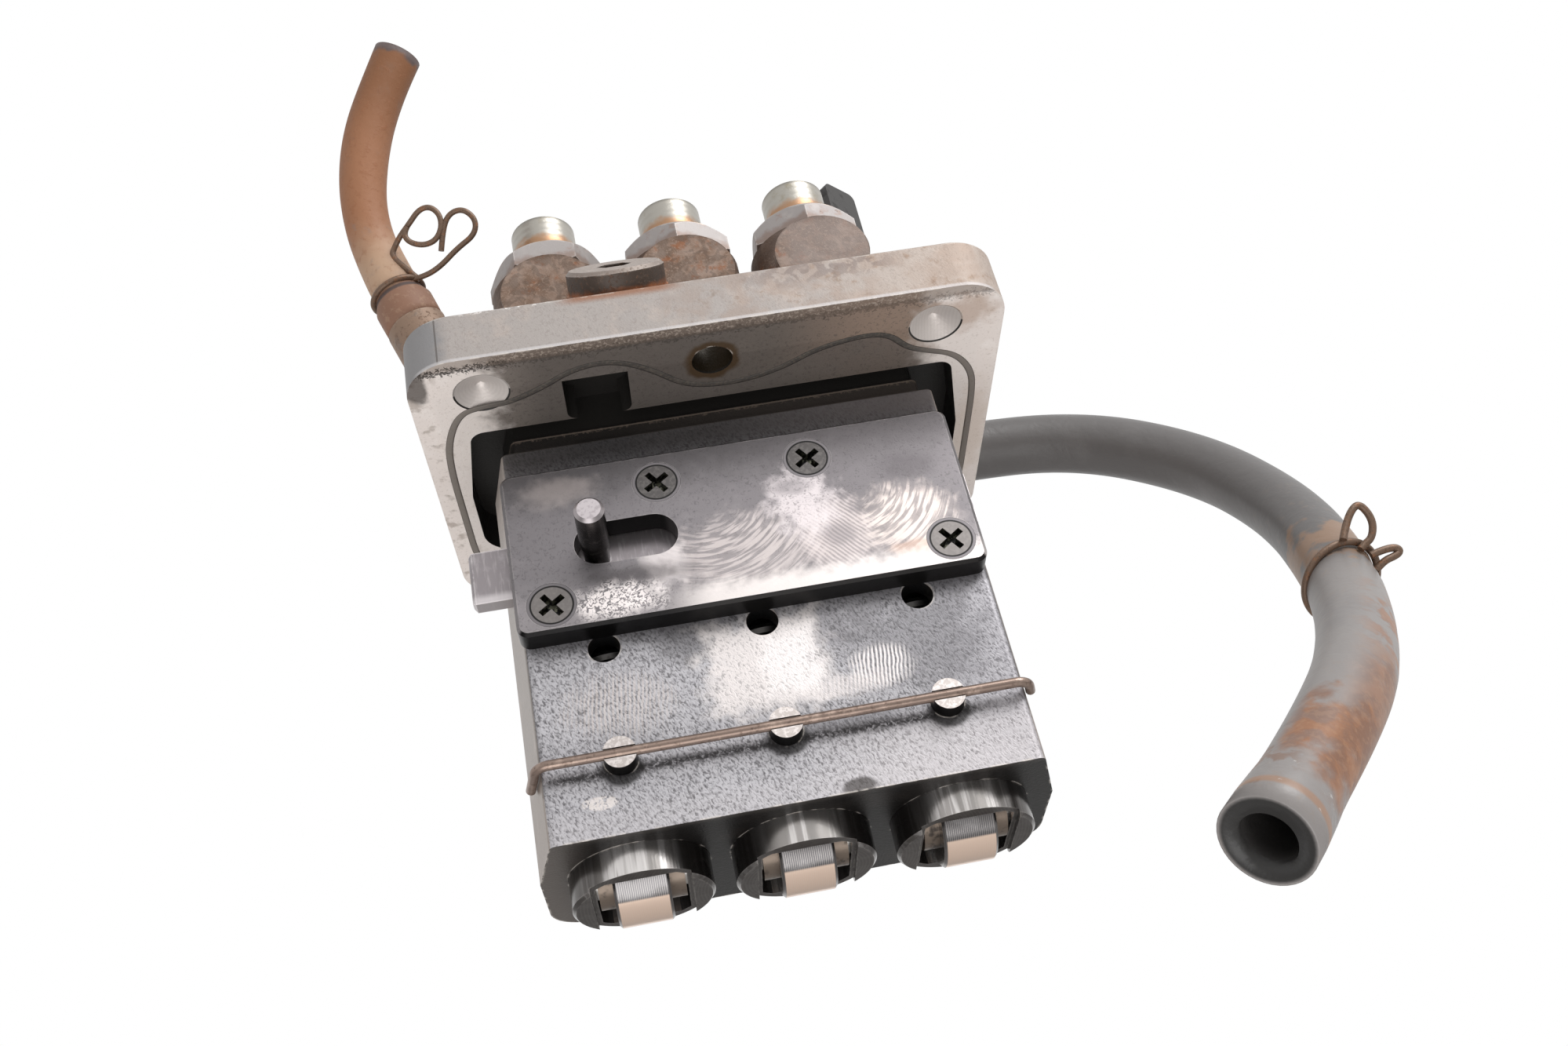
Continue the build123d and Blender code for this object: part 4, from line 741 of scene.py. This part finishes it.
dull_wire, shader = new_finish("wire_steel")
where = position()
film = patchy(0.5, 0.5, 0.2)
coat(shader, paint((136, 118, 108), (film, 1, (164, 144, 132)),
        (patchy(1.4, 0.4, 0.1), 0.5, (84, 66, 56))),
    metallic=0.7, roughness=0.32, height=cloud(where, 1.2), strength=0.12, depth=0.04)
wear(solids["retaining_wire"], dull_wire)

# ------------------------------------------------------------------ vent plug and overflow elbow
# Both are old and rusty: the plug's face worn pale, its side dark; the elbow mottled brown.
plug_axis = (0, -0.743, 0.669)
old_plug, shader = new_finish("plug_steel")
where = position()
faces = put("NewGeometry").outputs["Normal"]
along = put("VectorMath", faces, plug_axis, operation="DOT_PRODUCT").outputs["Value"]
lift = put("VectorMath", where, plug_axis, operation="DOT_PRODUCT").outputs["Value"]
disc_top = max(v.co.dot(Vector(plug_axis)) for v in solids["vent_plug"].data.vertices) / mm
disc_foot = shaken(calc("SUBTRACT", lift, disc_top - 4.6), cloud(where, 0.6), 2)
grime = patchy(0.6, 0.45, 0.2)
crust = patchy(1.8, 0.4, 0.1, 12.0)
plug_face = paint((150, 138, 130), (grime, 1, (172, 158, 150)), (crust, 0.5, (112, 92, 78)))
coat(shader, paint(
        (68, 56, 48), (grime, 1, (88, 74, 64)), (crust, 0.4, (116, 82, 58)),
        (ramp(disc_foot, 2.0, 0.4), 0.9, (164, 98, 54)),
        (ramp(along, 0.5, 0.8), 1, plug_face),
        (worn(0.4, 0.4), 0.5, (188, 176, 168))),
    metallic=0.3, roughness=0.5, height=calc("ADD", grime, crust), strength=0.4, depth=0.12)
wear(solids["vent_plug"], old_plug)

mottled, shader = new_finish("elbow_steel")
grime = patchy(0.3, 0.5, 0.2)
crust = patchy(1.2, 0.42, 0.12, 12.0)
coat(shader, paint((140, 116, 98), (grime, 1, (122, 108, 98)), (crust, 0.5, (104, 72, 50)),
        (worn(0.5, 0.45), 0.4, (176, 160, 146))),
    metallic=0.25, roughness=0.55, height=calc("ADD", grime, crust), strength=0.5, depth=0.15)
wear(solids["overflow_elbow"], mottled)

# ------------------------------------------------------------------ the other metal pieces
# Washers, seats, springs, plungers, sleeves, the inlet union and the bracket: each in two
# soft tones over a fine skin.


def shop_finish(name, light, dark, metallic, rough, scale=0.3, cover=0.5, bump=0.15):
    """Two tones in soft patches over a fine skin."""
    material, shader = new_finish(name)
    mask = patchy(scale, cover, 0.2)
    tones = blend_colours(mask, linear(*light), linear(*dark))
    coat(shader, tones,
        metallic=metallic, roughness=ramp(mask, 0, 1, rough, rough + 0.15), height=cast_height(2.0),
        strength=bump, depth=0.05)
    return material


plain = {
    "barrel": shop_finish("barrel_steel", (176, 174, 172), (150, 148, 146), 1.0, 0.3),
    "valve": shop_finish("valve_steel", (190, 188, 186), (160, 158, 156), 1.0, 0.25),
    "copper": shop_finish("copper", (158, 100, 62), (112, 68, 42), 0.6, 0.5, 0.6),
    "seal": shop_finish("seal_rubber", (40, 40, 40), (28, 28, 28), 0.0, 0.6),
    "spring": shop_finish("spring_steel", (112, 110, 108), (78, 76, 74), 0.9, 0.35),
    "plunger": shop_finish("plunger_steel", (200, 198, 196), (180, 178, 176), 1.0, 0.15),
    "sleeve": shop_finish("sleeve_steel", (70, 68, 66), (46, 44, 43), 0.9, 0.4),
    # painted shade: the bushes are dark to stand for the shaded gaps beside the rollers
    "bush": shop_finish("bush_steel", (112, 100, 90), (62, 56, 52), 0.8, 0.35, 0.5),
    "guide_pin": shop_finish("roller_pin_steel", (190, 186, 182), (160, 154, 150), 0.9, 0.28),
    "banjo": shop_finish("banjo_zinc", (172, 164, 146), (138, 126, 106), 0.7, 0.42, 0.4, 0.5, 0.3),
    "bracket": shop_finish("bracket_paint", (58, 56, 55), (44, 42, 41), 0.1, 0.55, 0.4, 0.5, 0.3),
    "bolt": shop_finish("bolt_steel", (140, 128, 116), (100, 84, 70), 0.6, 0.45, 0.6, 0.5, 0.3),
    "band": shop_finish("band_steel", (128, 104, 84), (92, 68, 50), 0.5, 0.5, 0.6, 0.5, 0.3),
}
finishes = dict(
    banjo_washers="copper", vent_washer="copper", seat_gaskets="copper", barrels="barrel", valve_seats="valve",
    o_rings="seal", upper_spring_seats="spring", inlet_banjo="banjo", banjo_bolt="banjo",
    pipe_bracket="bracket", bracket_bolt="bolt", inlet_hose_band="band")
for number in (1, 2, 3):
    finishes.update({
        f"plunger_spring_{number}": "spring", f"valve_spring_{number}": "spring",
        f"lower_spring_seat_{number}": "spring", f"plunger_{number}": "plunger",
        f"control_sleeve_{number}": "sleeve", f"delivery_valve_{number}": "valve",
        f"roller_bush_{number}": "bush", f"roller_pin_{number}": "guide_pin"})
for node, finish in finishes.items():
    wear(solids[node], plain[finish])
for node, obj in solids.items():
    obj.data.set_sharp_from_angle(angle=math.radians(22 if node == "pump_housing" else 32))

# ------------------------------------------------------------------ hoses
# Two cut lengths of rubber hose: a thin one that carries the overflow away from the left
# end, aged to a rusty brown, and a thick grey one that feeds the pump from behind.
left_route = [
    (-47.6, -10.0, 28.8), (-52.8, -11.4, 43.5), (-54.6, -14.8, 53.5),
    (-53.2, -18.8, 63.2), (-49.6, -22.6, 72.2), (-44.6, -25.8, 80.6)]
right_route = [
    (25.4, 42.0, 20.0), (49.1, 42.0, 20.6), (75.2, 38.7, 16.9),
    (94.0, 29.8, 0.7), (100.4, 17.0, -20.5), (97.2, 3.1, -41.4),
    (89.4, -10.4, -60.0), (75.4, -25.7, -78.4), (52.6, -38.7, -98.7)]


def frames_along(points):
    """Position, two cross directions and distance at each point, without twist."""
    across = None
    distance = 0.0
    result = []
    for i, point in enumerate(points):
        ahead_of = points[min(i + 1, len(points) - 1)]
        behind = points[max(i - 1, 0)]
        along = (ahead_of - behind).normalized()
        if across is None:
            across = along.orthogonal().normalized()
        across = (across - along * across.dot(along)).normalized()
        if i:
            distance += (point - points[i - 1]).length
        result.append((point, across, along.cross(across), distance))
    return result


def hose_piece(name, route, radius_at, bore, bore_depth, sides=40):
    """A hollow tube along a route: radius_at gives its outer radius at each distance."""
    middle = along_curve(name + "_line", [route], resolution=14)
    rings = frames_along([v.co.copy() for v in middle.vertices])
    length = rings[-1][3]
    shape = bmesh.new()

    def ring(station, radius):
        point, across, other, _ = station
        return [shape.verts.new(point + (across * math.cos(a) + other * math.sin(a)) * radius)
            for a in (2 * math.pi * i / sides for i in range(sides))]

    def bridge(one, two):
        for i in range(sides):
            j = (i + 1) % sides
            shape.faces.new((one[i], one[j], two[j], two[i]))

    head = [r for r in rings if r[3] < bore_depth]
    tail = [r for r in rings if r[3] > length - bore_depth]
    loops = [ring(r, bore) for r in reversed(head)]
    lip = 0.25 * mm
    loops.append(ring(rings[0], radius_at(0) - lip))
    loops += [ring(r, radius_at(r[3])) for r in rings]
    loops.append(ring(rings[-1], radius_at(length) - lip))
    loops += [ring(r, bore) for r in reversed(tail)]
    for one, two in zip(loops, loops[1:]):
        bridge(one, two)
    # how far along each loop lies; what stands past the length marks the cut end and the bore
    runs = [r[3] for r in reversed(head)] + [0] + [r[3] for r in rings]
    runs += [length + 0.4 * mm, length + 1 * mm] + [length + 3 * mm for r in tail[1:]]
    mesh = bpy.data.meshes.new(name)
    shape.to_mesh(mesh)
    shape.free()
    along_hose = mesh.attributes.new("run", "FLOAT", "POINT")
    for place, value in enumerate(runs):
        for i in range(sides):
            along_hose.data[place * sides + i].value = value * 1000
    for face in mesh.polygons:
        face.use_smooth = True
    piece = bpy.data.objects.new(name, mesh)
    bpy.context.scene.collection.objects.link(piece)
    piece["made_length"] = length
    return piece, [r[0] for r in rings]


def step(s, start, end):
    """0 before start, 1 after end, smooth between."""
    t = max(0.0, min(1.0, (s - start) / (end - start)))
    return t * t * (3 - 2 * t)


left_hose, left_line = hose_piece(
    "overflow_hose_rubber", left_route,
    lambda s: (4.2 + 0.8 * (1 - step(s, 5.6 * mm, 7.6 * mm))
        - 0.25 * step(s, 5.0 * mm, 7.4 * mm) * (1 - step(s, 8.0 * mm, 10 * mm))
        + 0.12 * math.sin(s * 210) + 0.1 * math.sin(s * 95 + 2)) * mm,
    bore=2.24 * mm, bore_depth=12 * mm)
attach(left_hose, "housing")
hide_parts("overflow_hose")

right_hose, right_line = hose_piece(
    "inlet_hose_rubber", right_route,
    lambda s: (5.95 + 0.5 * step(s, 196 * mm, 207 * mm) - 0.28 * math.exp(-((s - 0.1305) / 0.003) ** 2)
        + 0.07 * math.sin(s * 120)) * mm,
    bore=3.9 * mm, bore_depth=26 * mm)
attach(right_hose, "housing")
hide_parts("inlet_hose")

# Both rubbers change along their length, which each vertex knows as its run in millimetres.
rust_hose, shader = new_finish("old_hose_rubber")
where = position()
run = put("Attribute", attribute_name="run").outputs["Fac"]
ragged = cloud(where, 0.3)
crust = patchy(0.8, 0.45, 0.15, 5.0)
bare = patchy(0.25, 0.42, 0.2, 70.0)
wander = shaken(run, ragged, 5.0)
rubber = paint(
    (156, 108, 77), (ramp(wander, 34, 52), 1, (130, 86, 55)), (ramp(wander, 24, 12), 1, (188, 156, 130)),
    (crust, 0.35, (142, 88, 54)), (both(bare, near(wander, 16, 7, 5)), 0.7, (132, 122, 118)),
    (both(bare, ramp(wander, 30, 36)), 0.35, (126, 98, 80)),
    (ramp(wander, 8.4, 7.0), 1, (138, 102, 82)), (both(crust, ramp(wander, 8, 7)), 0.5, (166, 134, 110)),
    # painted shadow: a dark line just below the clip's ring
    (near(run, 6.6, 0.5, 0.5), 0.8, (56, 54, 58)), (ramp(wander, 55.6, 57.0), 0.85, (84, 78, 80)),
    (ramp(run, 57.9, 58.1), 1, (48, 44, 44)))
coat(shader, rubber,
    metallic=0.0, roughness=0.62, height=calc("ADD", cloud(where, 0.7), calc("MULTIPLY", crust, 0.3)),
    strength=0.4, depth=0.25)
wear(left_hose, rust_hose)

grey_hose, shader = new_finish("hose_rubber")
where = position()
nx, ny, _ = facing()
run = put("Attribute", attribute_name="run").outputs["Fac"]
ragged = cloud(where, 0.22, 6.0)
film = patchy(0.08, 0.5, 0.3, 8.0)
dusty = patchy(0.5, 0.42, 0.15, 33.0)
wander = shaken(run, ragged, 26.0)
outer = ramp(nx, -0.1, 0.75)
shown = ramp(calc("ADD", calc("MULTIPLY", nx, 0.5), calc("MULTIPLY", ny, -0.6)), -0.15, 0.25)
scab = ramp(cloud(where, 0.3, 4.0, 0.4), 0.38, 0.62)
rust_tone = paint((122, 78, 48), (scab, 1, (148, 100, 66)),
    (ramp(cloud(where, 0.9, 3.0), 0.5, 0.65), 0.3, (168, 126, 92)))
rubber = paint(
    (98, 95, 94), (film, 1, (110, 107, 106)), (ramp(run, 122, 142), 1, (142, 137, 135)),
    (both(film, ramp(run, 128, 150)), 0.8, (126, 123, 123)),
    (both(dusty, ramp(run, 90, 120)), 0.2, (150, 130, 112)),
    (near(wander, 125, 5, 4), 0.85, (146, 116, 92)),
    (both(outer, near(wander, 156, 10, 12), ramp(scab, 0, 0.8)), 0.8, rust_tone),
    (both(outer, near(wander, 184, 16, 10)), 0.8, rust_tone),
    (both(shown, near(wander, 190, 7, 6), ramp(scab, 0, 1, 0.75, 1)), 1, rust_tone),
    (both(near(wander, 201, 1.6, 1.5), ramp(nx, 0.3, -0.2)), 0.7, (122, 88, 66)),
    (near(run, 206.3, 0.7, 0.7), 0.65, (158, 116, 84)),
    (both(near(wander, 203.5, 1.0, 0.6), ramp(dusty, 0.4, 0.7)), 0.6, (204, 202, 202)),
    (ramp(run, 210.8, 211.0), 1, (34, 32, 31)), (ramp(run, 212.0, 212.6), 1, (52, 50, 49)))
coat(shader, rubber,
    metallic=0.0, roughness=0.42, height=calc("ADD", cloud(where, 1.2), scab), strength=0.16, depth=0.2)
wear(right_hose, grey_hose)

# ------------------------------------------------------------------ hose clips
# Spring wire wound once round the hose; both ends stand off as finger loops.


def bent_wire(name, runs, thickness, closed=()):
    """A piece of round wire."""
    mesh = along_curve(name + "_line", runs, thickness, closed)
    for face in mesh.polygons:
        face.use_smooth = True
    piece = bpy.data.objects.new(name, mesh)
    bpy.context.scene.collection.objects.link(piece)
    return piece


# A smooth closed curve of twelve places runs this much inside them.
curve_shrink = 0.967


def wire_ring(centre, normal, axis, radius, count=12):
    """Places round a hose in a plane that may lean against the hose's axis."""
    normal, axis = Vector(normal).normalized(), Vector(axis).normalized()
    one = normal.orthogonal().normalized()
    two = normal.cross(one)
    places = []
    for i in range(count):
        out = one * math.cos(2 * math.pi * i / count) + two * math.sin(2 * math.pi * i / count)
        reach = radius / (out - axis * out.dot(axis)).length
        places.append(tuple(Vector(centre) + out * reach / curve_shrink))
    return places


left_ring = wire_ring((-50.2, -10.7, 36.2), (-5.2, -1.4, 14.7), (-5.2, -1.4, 14.7), 4.65)
left_loops = [
    [(-45.9, -13.6, 36.6), (-48.4, -14.8, 39.2), (-50.2, -15.2, 41.6), (-49.2, -15.9, 43.4),
        (-48.0, -17.4, 44.0), (-46.2, -18.7, 45.2), (-44.2, -20.1, 46.8), (-42.2, -20.6, 46.8),
        (-40.7, -20.0, 45.3), (-40.6, -18.9, 43.2), (-41.9, -17.7, 41.4), (-44.2, -17.2, 41.0),
        (-46.6, -17.5, 41.9), (-47.4, -18.2, 43.4), (-46.6, -18.8, 44.4)],
    [(-47.6, -13.4, 37.0), (-45.0, -14.2, 36.6), (-42.0, -15.2, 37.4), (-38.6, -16.8, 39.6),
        (-35.2, -17.9, 41.2), (-34.6, -19.4, 43.4), (-36.6, -20.4, 45.4), (-39.2, -19.9, 45.0),
        (-40.6, -18.4, 42.8), (-41.4, -16.5, 39.8)]]
right_ring = wire_ring((95.7, 0.5, -45.0), (0.179, -0.625, -0.76), (-0.22, -0.56, -0.8), 6.5)
right_loops = [
    [(95.8, -5.6, -40.9), (97.0, -5.9, -38.6), (98.8, -6.9, -36.2), (100.4, -7.0, -35.6),
        (101.8, -6.0, -38.4), (101.0, -4.9, -41.0), (99.4, -4.4, -41.8), (98.6, -4.2, -42.4)],
    [(100.2, -3.4, -43.4), (102.2, -3.8, -43.0), (104.6, -3.8, -42.9), (105.2, -3.5, -43.6),
        (104.2, -3.3, -44.2), (102.0, -3.0, -44.6), (100.6, -2.2, -45.6)]]
clip_wire, shader = new_finish("clip_wire")
where = position()
crust = patchy(1.0, 0.45, 0.15)
coat(shader, paint((112, 90, 74), (crust, 1, (130, 92, 66)),
        (ramp(cloud(where, 3.0), 0.55, 0.65), 0.5, (70, 52, 42))),
    metallic=0.35, roughness=0.48, height=cloud(where, 2.5), strength=0.4, depth=0.12)
for name, node, ring, loops, thickness in (
        ("overflow_clip_wire", "overflow_hose_clip", left_ring, left_loops, 1.0),
        ("inlet_clip_wire", "inlet_hose_clip", right_ring, right_loops, 1.25)):
    clip = bent_wire(name, [ring] + loops, thickness, closed=(0,))
    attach(clip, "housing")
    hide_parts(node)
    wear(clip, clip_wire)
